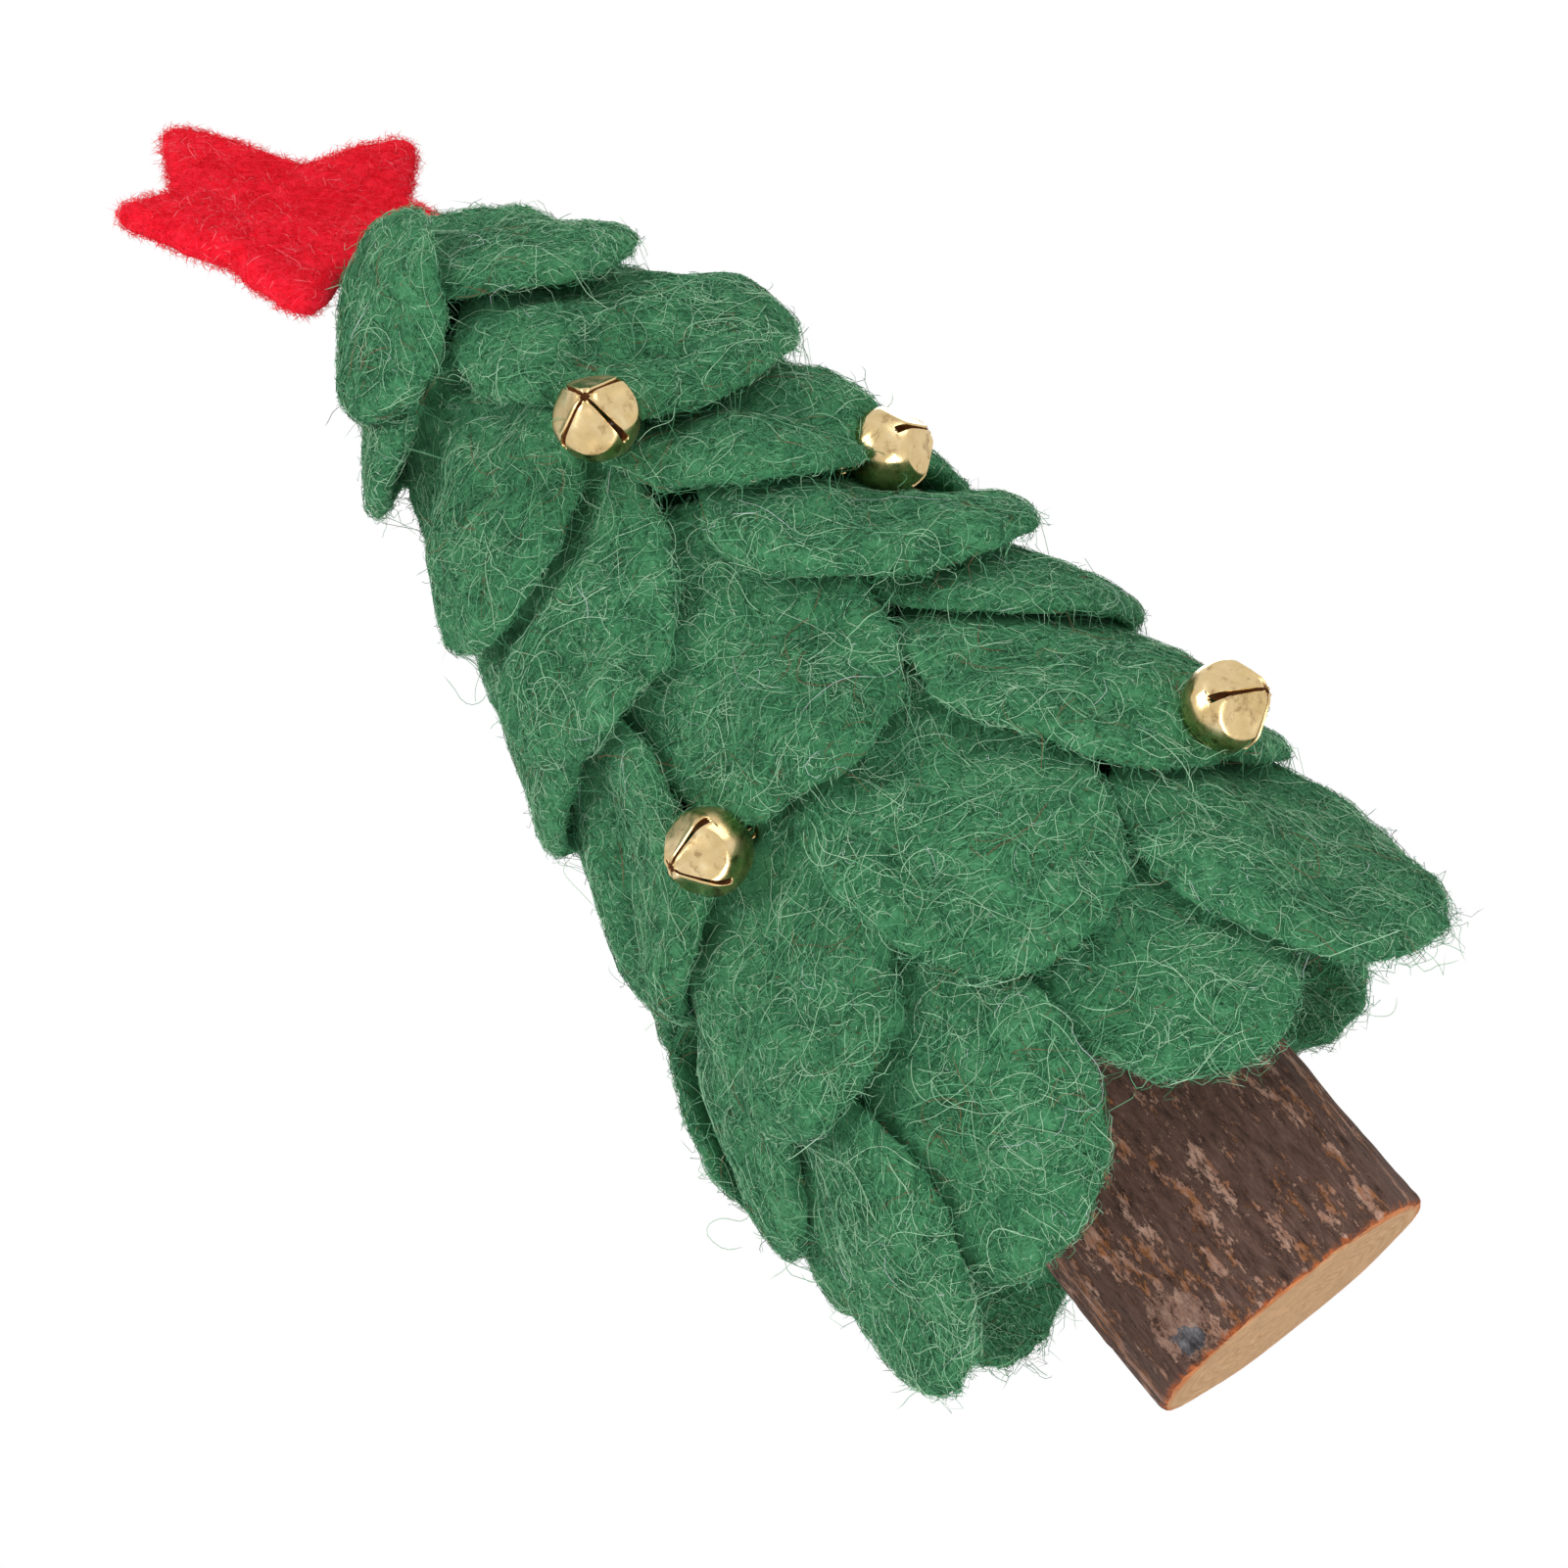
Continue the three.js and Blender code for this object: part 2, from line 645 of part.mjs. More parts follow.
const bellShell = geometryOf(makeBellShell());
matrices.forEach((matrix, index) => {
  addMesh(`bell_shell_${index + 1}`, bellShell.clone().applyMatrix4(matrix), brass);
  const pellet = addMesh(`bell_pellet_${index + 1}`, new THREE.SphereGeometry(pelletRadius, 8, 6), steel);
  pellet.position.setFromMatrixPosition(matrix);
  pellet.position.z -= pelletDrop;
});

export default tree;
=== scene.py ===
# A small christmas tree of green wool felt petals on a sawn log, with brass jingle bells
# and a red felt star. The felt is dressed with real fibres, and the bark, the bells and the
# felted core have shapes and materials of their own. Lengths are in mm until a mesh is made,
# but those of the stage are in metres.
import math

import bmesh
import bpy
import numpy as np
from mathutils import Matrix, Vector
from mathutils.bvhtree import BVHTree


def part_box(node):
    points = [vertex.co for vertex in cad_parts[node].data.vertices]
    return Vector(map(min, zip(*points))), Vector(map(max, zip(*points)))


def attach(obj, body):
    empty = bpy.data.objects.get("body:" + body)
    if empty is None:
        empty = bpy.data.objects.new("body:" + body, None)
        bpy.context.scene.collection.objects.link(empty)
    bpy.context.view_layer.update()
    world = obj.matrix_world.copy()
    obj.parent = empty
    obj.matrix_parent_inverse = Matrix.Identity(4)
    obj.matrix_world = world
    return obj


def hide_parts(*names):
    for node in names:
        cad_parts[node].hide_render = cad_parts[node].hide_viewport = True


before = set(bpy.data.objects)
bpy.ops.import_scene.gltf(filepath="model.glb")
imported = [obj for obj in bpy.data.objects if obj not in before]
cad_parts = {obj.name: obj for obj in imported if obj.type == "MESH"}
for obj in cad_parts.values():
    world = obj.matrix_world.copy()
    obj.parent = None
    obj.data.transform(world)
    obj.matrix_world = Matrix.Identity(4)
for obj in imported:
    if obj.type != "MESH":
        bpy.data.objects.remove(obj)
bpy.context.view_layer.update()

MM = 0.001
rng = np.random.default_rng(41)

# Odd factors that scatter the cells of value_noise, and the seeds of its uses
CELL_FACTORS, SEED_FACTOR, MIXING_FACTOR = (73856093, 19349663, 83492791), 40503, 1274126177
FELT_SEED, FELT_SEED_STEP = 100, 31
CORE_SEED, PATCH_SEED, DENT_SEED, DRIFT_SEED = 61, 77, 401, 900

# Felt: how finely it is remeshed and smoothed, how far its faces and its rim swell out, and
# its lumps as (size, height)
FELT_VOXEL, CORE_VOXEL = ((0.6, 1.1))
FELT_SMOOTHING, STAR_SMOOTHING, CORE_SMOOTHING = 4, 9, 3
UNDER_SWELL, OUTER_SWELL, CORE_SWELL = 0.05, 0.45, 0.05
RIM_FROM, RIM_BLEND = 0.82, 0.5
RIM_GROWTH, RIM_RAGGED, RIM_LUMP = 0.55, 0.5, 7.5
FELT_LUMPS = [(7.0, 0.35), (2.8, 0.2), (1.3, 0.1)]
CORE_LUMPS = [(5.0, 0.2), (2.0, 0.1)]

# The ways that the star's up arm and its right arm point
STAR_UP = (-0.206, 0.369, 0.906)
STAR_RIGHT = (0.798, 0.599, -0.062)

# Fibres: how many grow on a square mm, how thick they are and how they run
SHORT_PER_MM2 = 5.2
MIDDLE_PER_MM2 = 1.0
LONG_PER_MM2 = 0.12
SHORT_RADII, MIDDLE_RADII, LONG_RADII = (0.03, 0.05), (0.026, 0.044), (0.034, 0.054)
SHORT_CURL, MIDDLE_CURL = 0.8, 0.3
MIDDLE_STEPS, MIDDLE_HEIGHTS = 6, (0.05, 0.4)
# Free fibres curl more than the others, in shorter steps.
FREE_CURL, FREE_STEP = 2.2, 0.7
ROOT_DEPTH, TURN_CHANGE = 0.12, 0.9
# How steeply a free and a laid fibre leave the felt, and what becomes of that at each step:
# the share of it that is kept, and the mean and the spread of what is added
FREE_RISE, FREE_RISE_KEPT, FREE_RISE_CHANGE = (0.25, 1.0), 0.8, (0, 0.12)
LAID_RISE, LAID_RISE_KEPT, LAID_RISE_CHANGE = (0.1, 0.6), 0.38, (-0.11, 0.2)
# The nap drifts one way in places of this size, and its colour varies in patches.
DRIFT_SIZE, DRIFT_LOOSENESS = 9.0, 0.62
PATCH_SIZE, PATCH_STRENGTH = 4.2, 0.2
# Long strands go in steps, and keep a share of each bend in the next. Now and then one kinks.
STRAND_STEP, STRAND_POINTS = 0.75, 15
FIRST_BEND, BEND_KEPT, BEND_CHANGE = 0.07, 0.72, 0.13
KINK_CHANCE, KINK_TURN = 0.06, 0.8
# A strand starts over the felt with its root in it, and seeks a height that changes a little
# at each step. It can sink or climb only so far in one.
START_HEIGHT, ROOT_UNDER_START = 0.05, 0.3
HEIGHT_CHANGE, MOST_SUNK, MOST_CLIMBED = 0.12, -0.3, 0.45
# A free strand lets go of the felt for this share of its steps, from least to most, and then
# tilts away from it by this mean and spread.
LOOSE_SHARE, LOOSE_TILT = (0.15, 0.35), (0.02, 0.07)
# Nothing grows where a surface is nearer above the felt than the first gap. Nearer than the
# second gap, a share grows. Both count from a little over the felt.
HIDDEN_GAP, SHELTERED_GAP = 2.2, 14.0
SHELTERED_SHARE = 0.35
LOOK_FROM = 0.3

# Trunk: how far each kind of relief stands out of the bark
TRUNK_VOXEL = 0.45
TRUNK_SMOOTHING = 4
TRUNK_RADIUS = 18.8
FURROW_RISE, FINE_RISE, BROAD_RISE, FLAKE_RISE = 0.13, 0.1, 0.25, 0.2
# Orange inner bark shows on the cut from this radius, and up the side to this height. Both
# are ragged by so much.
INNER_BARK_RADIUS, INNER_BARK_HEIGHT = 17.5, 0.85
RADIUS_RAGGED, HEIGHT_RAGGED = 2.4, 3.6
RINGS_PER_MM, RING_WOBBLE = 0.62, 2.4
# The knot low on the front left, as a pale patch and its grey core: the place round the bark,
# half the width, the height, half the extent upwards and the raggedness of each
KNOT_PATCH = (-12.2, 3.9, 4.9, 4.5, 1.7)
KNOT_CORE = (-12.3, 2.3, 2.9, 1.7, 3.4)
KNOT_SHARPNESS = 9.0

# Bells: where each one points, as turn from the front, lift and roll, in degrees
BELL_AIMS = [
    (4, 10, 10),
    (104, -11, 1),
    (-55, 5, 19),
    (64, -20, -11),
    (150, 20, 20),
    (-110, 8, 35),
    (-150, 15, 10),
]
BELL_RADIUS, BELL_BULGE = 5.0, 5.15
BELL_WALL, BELL_BEVEL = 0.26, 0.07
BELL_DENTS = [(2.7, 0.045), (1.2, 0.015)]
# At rest a pellet lies this far under the middle of its bell.
PELLET_RADIUS, PELLET_DROP = 1.5, 2.55
# Each of the four leaves is pressed flat, centred this many degrees from the pole and at this
# share of the bulge. The flat blends into the ball over this many mm.
LEAF_TILT, LEAF_FLAT, LEAF_BLEND = 48, 0.822, 0.12
LEAF_COLUMNS = 14
# Slots: the angles from the pole that they run between, half their width, and how much that
# grows along them, at the hole at the pole and at the bulb before their end, over so many
# degrees each
SLOT_FROM, SLOT_TO = 6.8, 86
SLOT_WIDTH, SLOT_GROWTH = 0.31, 0.11
HOLE_GROWTH, HOLE_REACH = 0.13, 7
BULB_GROWTH, BULB_REACH, BULB_BACK = 0.05, 6, 6.5
# The end is rounded over this share of the bulb, the blunter the higher the power.
END_SHARE, END_POWER = 0.6, 2.4
# The slots' edges are turned up, by so much at the edge itself and one column away, where
# half the slot is at least so wide.
LIP_RISES, LIP_FULL_FROM = {0: 0.1, 1: 0.04}, 0.25
# The rings of points down a shell, in degrees from the pole: down the slots, then behind them
SLOT_ROWS = [
    6.8, 7.4, 8.2, 9.3, 11, 13.5, 17, 21, 26, 31, 36, 41, 46, 51, 56, 61, 66, 70, 74, 77,
    79.5, 81.6, 83.2, 84.3, 85.1, 85.6, 85.9, 86,
]
BACK_ROWS = [88, 91, 95, 100, 106, 113, 121, 130, 140, 150, 160, 169, 176]

# Stage, in metres
FLOOR_HALF, FLOOR_SINK, FLOOR_SHADE = 3.0, 0.0003, 0.86
FLOOR_FADE_FROM, FLOOR_FADE_OVER = 0.15, 0.25
LAMPS_AIM = (0, 0, 0.1)
WORLD_STRENGTH = 0.6
CAMERA_PLACE, CAMERA_TILT, CAMERA_ROLL = (-0.0079, -0.5, -0.0526), 105.5, -38.7


# ---------------------------------------------------------------- meshes

def add_object(name, mesh):
    thing = bpy.data.objects.new(name, mesh)
    bpy.context.scene.collection.objects.link(thing)
    return thing


def give_material(thing, material):
    """The thing has this material and no other."""
    thing.data.materials.clear()
    thing.data.materials.append(material)


def triangle_mesh(name, points, triangles, slots):
    """A mesh from points in mm and triangles, with a material slot number for each."""
    mesh = bpy.data.meshes.new(name)
    count = len(triangles)
    mesh.vertices.add(len(points))
    mesh.vertices.foreach_set("co", (points * MM).astype(np.float32).ravel())
    mesh.loops.add(3 * count)
    mesh.loops.foreach_set("vertex_index", triangles.astype(np.int32).ravel())
    mesh.polygons.add(count)
    mesh.polygons.foreach_set("loop_start", np.arange(0, 3 * count, 3, dtype=np.int32))
    mesh.polygons.foreach_set("material_index", slots.astype(np.int32))
    mesh.polygons.foreach_set("use_smooth", np.full(count, True))
    mesh.update(calc_edges=True)
    return mesh


def smooth_mesh(name, bend):
    """A smooth mesh from a bmesh, which goes."""
    for face in bend.faces:
        face.smooth = True
    mesh = bpy.data.meshes.new(name)
    bend.to_mesh(mesh)
    bend.free()
    return mesh


def arrays_of(mesh):
    """A mesh's points in mm, normals and triangles."""
    points = np.empty(3 * len(mesh.vertices), np.float32)
    mesh.vertices.foreach_get("co", points)
    normals = np.empty(3 * len(mesh.vertices), np.float32)
    mesh.vertices.foreach_get("normal", normals)
    mesh.calc_loop_triangles()
    triangles = np.empty(3 * len(mesh.loop_triangles), np.int32)
    mesh.loop_triangles.foreach_get("vertices", triangles)
    return (
        points.reshape(-1, 3).astype(float) / MM,
        normals.reshape(-1, 3).astype(float),
        triangles.reshape(-1, 3),
    )


def stacked(parts):
    """The points and triangles of several parts in one pair of arrays."""
    points, triangles, count = [], [], 0
    for own, faces in parts:
        points.append(own)
        triangles.append(faces + count)
        count += len(own)
    return np.concatenate(points), np.concatenate(triangles)


def set_points(mesh, points):
    mesh.vertices.foreach_set("co", (points * MM).astype(np.float32).ravel())
    mesh.update()


def baked(thing):
    """The thing's mesh with its modifiers applied. The thing itself goes."""
    graph = bpy.context.evaluated_depsgraph_get()
    mesh = bpy.data.meshes.new_from_object(thing.evaluated_get(graph))
    bpy.data.objects.remove(thing)
    return mesh


def remeshed(node_name, voxel, smoothing):
    """A fine copy of a node's mesh with its edges softened."""
    work = add_object("work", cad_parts[node_name].data.copy())
    remesh = work.modifiers.new("remesh", "REMESH")
    remesh.mode = "VOXEL"
    remesh.voxel_size = voxel * MM
    remesh.use_smooth_shade = True
    smooth = work.modifiers.new("smooth", "SMOOTH")
    smooth.factor = 0.5
    smooth.iterations = smoothing
    return baked(work)


def value_noise(points, size, seed):
    """Smooth noise from -1 to 1 at the points, in lumps of about this size."""
    cell = points / size
    base = np.floor(cell).astype(np.int64)
    part = cell - base
    part = part * part * (3 - 2 * part)
    total = np.zeros(len(points))
    for corner in range(8):
        step = np.array([(corner >> axis) & 1 for axis in range(3)])
        x, y, z = ((base + step) * CELL_FACTORS).T
        code = x ^ y ^ z ^ (seed * SEED_FACTOR)
        code = (code ^ (code >> 13)) * MIXING_FACTOR
        value = ((code ^ (code >> 16)) & 0xFFFF) / 32767.5 - 1
        total += value * np.prod(np.where(step == 1, part, 1 - part), axis=1)
    return total


def lumpy(rise, points, lumps, seed, seed_step=1):
    """The rise at the points with lumps added, each (size, height)."""
    for index, (size, height) in enumerate(lumps):
        rise = rise + height * value_noise(points, size, seed + seed_step * index)
    return rise


def unit(vectors):
    return vectors / np.maximum(np.linalg.norm(vectors, axis=-1, keepdims=True), 1e-9)


# ---------------------------------------------------------------- materials

def new_material(name):
    material = bpy.data.materials.new(name)
    material.use_nodes = True
    tree = material.node_tree
    return material, tree, tree.nodes["Principled BSDF"]


def rgba(red, green, blue):
    """A screen colour, 0 to 255, as linear light."""
    parts = [value / 255 for value in (red, green, blue)]
    linear = [p / 12.92 if p <= 0.04045 else ((p + 0.055) / 1.055) ** 2.4 for p in parts]
    return (*linear, 1)


def node(tree, kind, **settings):
    made = tree.nodes.new(kind)
    for key, value in settings.items():
        setattr(made, key, value)
    return made


def feed(tree, sockets, values):
    """Each value goes into its socket: another node's output as a link, the rest as it is."""
    for socket, value in zip(sockets, values):
        if hasattr(value, "is_linked"):
            tree.links.new(value, socket)
        else:
            socket.default_value = value


def object_points(tree, stretch=(1, 1, 1)):
    """Object coordinates in mm, each times its share."""
    place = node(tree, "ShaderNodeTexCoord")
    mapping = node(tree, "ShaderNodeMapping")
    mapping.inputs["Scale"].default_value = [value / MM for value in stretch]
    tree.links.new(place.outputs["Object"], mapping.inputs["Vector"])
    return mapping.outputs["Vector"]


def noise(tree, size, detail=3, roughness=0.55, stretch=(1, 1, 1)):
    """Noise with lumps of about this size in mm, over stretched object coordinates."""
    made = node(tree, "ShaderNodeTexNoise")
    made.inputs["Scale"].default_value = 1 / size
    made.inputs["Detail"].default_value = detail
    made.inputs["Roughness"].default_value = roughness
    tree.links.new(object_points(tree, stretch), made.inputs["Vector"])
    return made.outputs["Fac"]


def ramp(tree, value, stops):
    """A colour ramp from (place, linear colour) stops."""
    made = node(tree, "ShaderNodeValToRGB")
    band = made.color_ramp.elements
    while len(band) < len(stops):
        band.new(0.5)
    for element, (place, colour) in zip(band, stops):
        element.position = place
        element.color = colour
    tree.links.new(value, made.inputs["Fac"])
    return made.outputs["Color"]


def tones(tree, value, *stops):
    """A ramp of screen colours from (place, red, green, blue) stops."""
    return ramp(tree, value, [(place, rgba(*colour)) for place, *colour in stops])


def fade(tree, value, *stops):
    """A ramp of greys from (place, share) stops."""
    return ramp(tree, value, [(place, (share, share, share, 1)) for place, share in stops])


def mixed(tree, share, first, second, blend="MIX"):
    made = node(tree, "ShaderNodeMix", data_type="RGBA", blend_type=blend)
    feed(tree, [made.inputs[index] for index in (0, 6, 7)], (share, first, second))
    return made.outputs[2]


def maths(tree, operation, first, second=0.0, clamp=False):
    made = node(tree, "ShaderNodeMath", operation=operation, use_clamp=clamp)
    feed(tree, made.inputs, (first, second))
    return made.outputs[0]


def parts_of(tree, vector):
    """The x, y and z of a vector."""
    made = node(tree, "ShaderNodeSeparateXYZ")
    tree.links.new(vector, made.inputs[0])
    return list(made.outputs)


def length_of(tree, vector):
    made = node(tree, "ShaderNodeVectorMath", operation="LENGTH")
    tree.links.new(vector, made.inputs[0])
    return made.outputs["Value"]


def blended(tree, share, first, second, output):
    """Puts out the first shader, and by this share the second."""
    made = node(tree, "ShaderNodeMixShader")
    feed(tree, made.inputs, (share, first.outputs[0], second.outputs[0]))
    tree.links.new(made.outputs[0], output.inputs["Surface"])


def surface(tree, shader, colour, roughness, specular=0.5, metallic=0.0):
    """Sets a shader's main inputs, each to a value or another node's output."""
    names = ("Base Color", "Roughness", "Specular IOR Level", "Metallic")
    sockets = [shader.inputs[name] for name in names]
    feed(tree, sockets, (colour, roughness, specular, metallic))


def bump(tree, shader, height, distance, strength):
    made = node(tree, "ShaderNodeBump")
    made.inputs["Strength"].default_value = strength
    made.inputs["Distance"].default_value = distance * MM
    tree.links.new(height, made.inputs["Height"])
    tree.links.new(made.outputs["Normal"], shader.inputs["Normal"])


def felt_material(name, dark, middle, light, fleck, sheen):
    """Matted wool: mottled colour, fine crossing fibres and a soft sheen."""
    material, tree, shader = new_material(name)
    mottle = ramp(tree, noise(tree, 5.0, 4), [(0.3, dark), (0.52, middle), (0.78, light)])
    across = noise(tree, 1.1, 5, 0.7, (1, 3.2, 1))
    along = noise(tree, 1.2, 5, 0.7, (3.2, 1, 2.6))
    strands = maths(tree, "MAXIMUM", across, along)
    coloured = mixed(tree, fade(tree, strands, (0.5, 0.0), (0.72, 1.0)), mottle, light)
    flecks = fade(tree, noise(tree, 2.1, 6, 0.75), (0.66, 0.0), (0.74, 0.55))
    surface(tree, shader, mixed(tree, flecks, coloured, fleck), 0.95, 0.15)
    shader.inputs["Sheen Weight"].default_value = 0.35
    shader.inputs["Sheen Roughness"].default_value = 0.6
    shader.inputs["Sheen Tint"].default_value = sheen
    bump(tree, shader, strands, 0.35, 0.8)
    return material


def fibre_material(name, *colour):
    material, tree, shader = new_material(name)
    surface(tree, shader, rgba(*colour), 0.7, 0.12)
    return material


GREEN_FELT = felt_material(
    "green_felt", rgba(26, 66, 40), rgba(50, 112, 74), rgba(84, 150, 104),
    rgba(108, 116, 74), rgba(130, 200, 150),
)
# The core's felt is a real dark green, made darker still as painted shade for the gaps between
# the petals where it shows.
CORE_FELT_WITH_PAINTED_SHADE = felt_material(
    "core_felt_with_painted_shade", rgba(16, 46, 30), rgba(26, 72, 46), rgba(40, 98, 64),
    rgba(52, 66, 52), rgba(80, 130, 95),
)
RED_FELT = felt_material(
    "red_felt", rgba(244, 12, 36), rgba(255, 22, 50), rgba(255, 40, 66),
    rgba(255, 70, 84), rgba(255, 90, 100),
)

# Each kind of wool is a list of fibre colours from dark to light, and the shares of them in
# the short, the middle and the long fibres.
GREEN_WOOL = dict(
    fibres=[
        fibre_material("fibre_brown", 132, 98, 72),
        fibre_material("fibre_deep", 34, 82, 52),
        fibre_material("fibre_green", 60, 130, 88),
        fibre_material("fibre_mid", 84, 150, 108),
        fibre_material("fibre_bright", 114, 178, 134),
        fibre_material("fibre_pale", 172, 212, 176),
        fibre_material("fibre_white", 202, 214, 214),
    ],
    short=[0.012, 0.22, 0.17, 0.24, 0.24, 0.116, 0.002],
    middle=[0.014, 0.1, 0.17, 0.256, 0.27, 0.186, 0.004],
    long=[0.02, 0.0, 0.08, 0.2, 0.32, 0.37, 0.01],
)
# The core's fibres lean to the dark greens, partly their own colour and partly painted shade
# for those gaps.
CORE_WOOL_WITH_PAINTED_SHADE = dict(
    fibres=GREEN_WOOL["fibres"],
    short=[0.01, 0.61, 0.26, 0.08, 0.03, 0.01, 0.0],
    middle=[0.01, 0.41, 0.3, 0.16, 0.08, 0.04, 0.0],
    long=[0.04, 0.1, 0.2, 0.26, 0.2, 0.19, 0.01],
)
RED_WOOL = dict(
    fibres=[
        fibre_material("fibre_deep_red", 238, 12, 36),
        fibre_material("fibre_red", 255, 24, 50),
        fibre_material("fibre_bright_red", 255, 58, 80),
        fibre_material("fibre_pink", 255, 128, 138),
    ],
    short=[0.26, 0.42, 0.27, 0.05],
    middle=[0.1, 0.4, 0.38, 0.12],
    long=[0.0, 0.3, 0.45, 0.25],
)


# ---------------------------------------------------------------- felt bodies

def felt_mesh(name, seed):
    """A felt body: its faces crown outwards and its cut rim puffs out unevenly."""
    star = name == "star"
    mesh = remeshed(name, FELT_VOXEL, STAR_SMOOTHING if star else FELT_SMOOTHING)
    points, normals, _ = arrays_of(mesh)
    # A petal's outside faces away from the upright axis, and the star has two outsides.
    away = normals if star else unit(points * [1, 1, 0] + [0, 0, 0.3])
    facing = np.clip((normals * away).sum(1), 0, 1)
    face = unit(np.cross(STAR_RIGHT, STAR_UP) if star else (away * facing[:, None]).mean(0))
    rim = np.clip((RIM_FROM - np.abs(normals @ face)) / RIM_BLEND, 0, 1)
    rise = UNDER_SWELL + (OUTER_SWELL - UNDER_SWELL) * facing
    rise += rim * (RIM_GROWTH + RIM_RAGGED * value_noise(points, RIM_LUMP, seed + 3))
    rise = lumpy(rise, points, FELT_LUMPS, seed, 7)
    set_points(mesh, points + normals * rise[:, None])
    return mesh


petal_names = sorted(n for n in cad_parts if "_petal_" in n)
felt_names = petal_names + ["star"]
felt_things = {}
for index, name in enumerate(felt_names):
    thing = add_object(f"felt_{name}", felt_mesh(name, FELT_SEED + FELT_SEED_STEP * index))
    give_material(thing, RED_FELT if name == "star" else GREEN_FELT)
    felt_things[name] = thing


def core_mesh():
    """The core under the petals, felted over, where gaps between them show it."""
    mesh = remeshed("foam_cone", CORE_VOXEL, CORE_SMOOTHING)
    points, normals, _ = arrays_of(mesh)
    rise = lumpy(CORE_SWELL, points, CORE_LUMPS, CORE_SEED)
    set_points(mesh, points + normals * rise[:, None])
    return mesh


core = add_object("felt_core", core_mesh())
give_material(core, CORE_FELT_WITH_PAINTED_SHADE)


# ---------------------------------------------------------------- trunk

def trunk_mesh():
    """The log with furrows and flakes of bark down its side and a plain sawn foot."""
    mesh = remeshed("log_trunk", TRUNK_VOXEL, TRUNK_SMOOTHING)
    points, normals, _ = arrays_of(mesh)
    side = np.clip((0.75 - np.abs(normals[:, 2])) * 4, 0, 1)

    def relief(upwards, size, seed):
        return value_noise(points * [1, 1, upwards], size, seed)

    furrow = 1 - np.abs(relief(0.2, 2.2, seed=5)) * 2
    fine = relief(0.3, 0.9, seed=9)
    broad = relief(0.4, 7, seed=15)
    flake = np.clip((relief(0.42, 2.6, seed=21) - 0.18) * 6, 0, 1)
    rise = FURROW_RISE * furrow + FINE_RISE * fine + BROAD_RISE * broad + FLAKE_RISE * flake
    set_points(mesh, points + normals * (side * rise)[:, None])
    return mesh


def bark_colour(tree):
    """Grey-brown bark, finely cracked, with flaked scuffs in upright streaks."""
    grain = noise(tree, 0.8, 7, 0.75, (1, 1, 0.22))
    base = tones(
        tree, grain,
        (0.33, 50, 34, 28), (0.46, 92, 68, 59), (0.58, 108, 82, 72), (0.72, 138, 108, 95),
    )
    zones = maths(tree, "SUBTRACT", noise(tree, 3.8, 4, stretch=(1, 1, 0.2)), 0.5)
    flaking = noise(tree, 1.1, 9, 0.82, (1, 1, 0.4))
    flaking = maths(tree, "ADD", flaking, maths(tree, "MULTIPLY", zones, 0.6))
    scuffs = fade(tree, flaking, (0.522, 0.0), (0.54, 1.0))
    outline = fade(tree, flaking, (0.485, 1.0), (0.524, 0.62))
    shade = fade(tree, flaking, (0.53, 0.66), (0.62, 1.0))
    tint = tones(
        tree, noise(tree, 2.0, 6, 0.75, (1, 1, 0.4)),
        (0.34, 116, 74, 48), (0.42, 172, 112, 68), (0.48, 172, 126, 104), (0.62, 206, 166, 146),
    )
    flakes = mixed(tree, 1.0, tint, shade, "MULTIPLY")
    specks = fade(tree, noise(tree, 0.55, 6, 0.75, (1, 1, 0.36)), (0.6, 0.0), (0.66, 0.75))
    base = mixed(tree, specks, base, rgba(158, 122, 102))
    base = mixed(tree, 1.0, base, outline, "MULTIPLY")
    return mixed(tree, maths(tree, "MULTIPLY", scuffs, 0.92), base, flakes), scuffs, grain


def end_grain_colour(tree):
    """Pale sapwood with faint rings, and the radius and the height of each place."""
    x, y, height = parts_of(tree, object_points(tree))
    flat = node(tree, "ShaderNodeCombineXYZ")
    feed(tree, flat.inputs, (x, y))
    radius = length_of(tree, flat.outputs[0])
    wobble = maths(tree, "MULTIPLY", noise(tree, 9.0), RING_WOBBLE)
    uneven = maths(tree, "ADD", radius, wobble)
    rings = maths(tree, "FRACT", maths(tree, "MULTIPLY", uneven, RINGS_PER_MM))
    wood = tones(tree, rings, (0.0, 214, 168, 122), (0.55, 222, 180, 136), (1.0, 206, 158, 112))
    saw = fade(tree, noise(tree, 1.2, 4, stretch=(0.25, 3, 1)), (0.35, 0.9), (0.7, 1.0))
    return mixed(tree, 1.0, wood, saw, "MULTIPLY"), radius, height


def knot_shares(tree, height):
    """Shares of the knot's pale patch and of its grey core."""
    x, y, _ = parts_of(tree, object_points(tree))
    turn = maths(tree, "ARCTAN2", x, maths(tree, "MULTIPLY", y, -1.0))
    along = maths(tree, "MULTIPLY", turn, TRUNK_RADIUS)
    wobble = maths(tree, "SUBTRACT", noise(tree, 2.2, 8, 0.75), 0.5)

    def oval(middle, half_width, up, half_height, ragged):
        aside = maths(tree, "DIVIDE", maths(tree, "SUBTRACT", along, middle), half_width)
        above = maths(tree, "DIVIDE", maths(tree, "SUBTRACT", height, up), half_height)
        squares = [maths(tree, "POWER", value, 2.0) for value in (aside, above)]
        away = maths(tree, "SQRT", maths(tree, "ADD", *squares))
        away = maths(tree, "ADD", away, maths(tree, "MULTIPLY", wobble, ragged))
        inside = maths(tree, "SUBTRACT", 1.0, away)
        return maths(tree, "MULTIPLY", inside, KNOT_SHARPNESS, clamp=True)

    return oval(*KNOT_PATCH), oval(*KNOT_CORE)


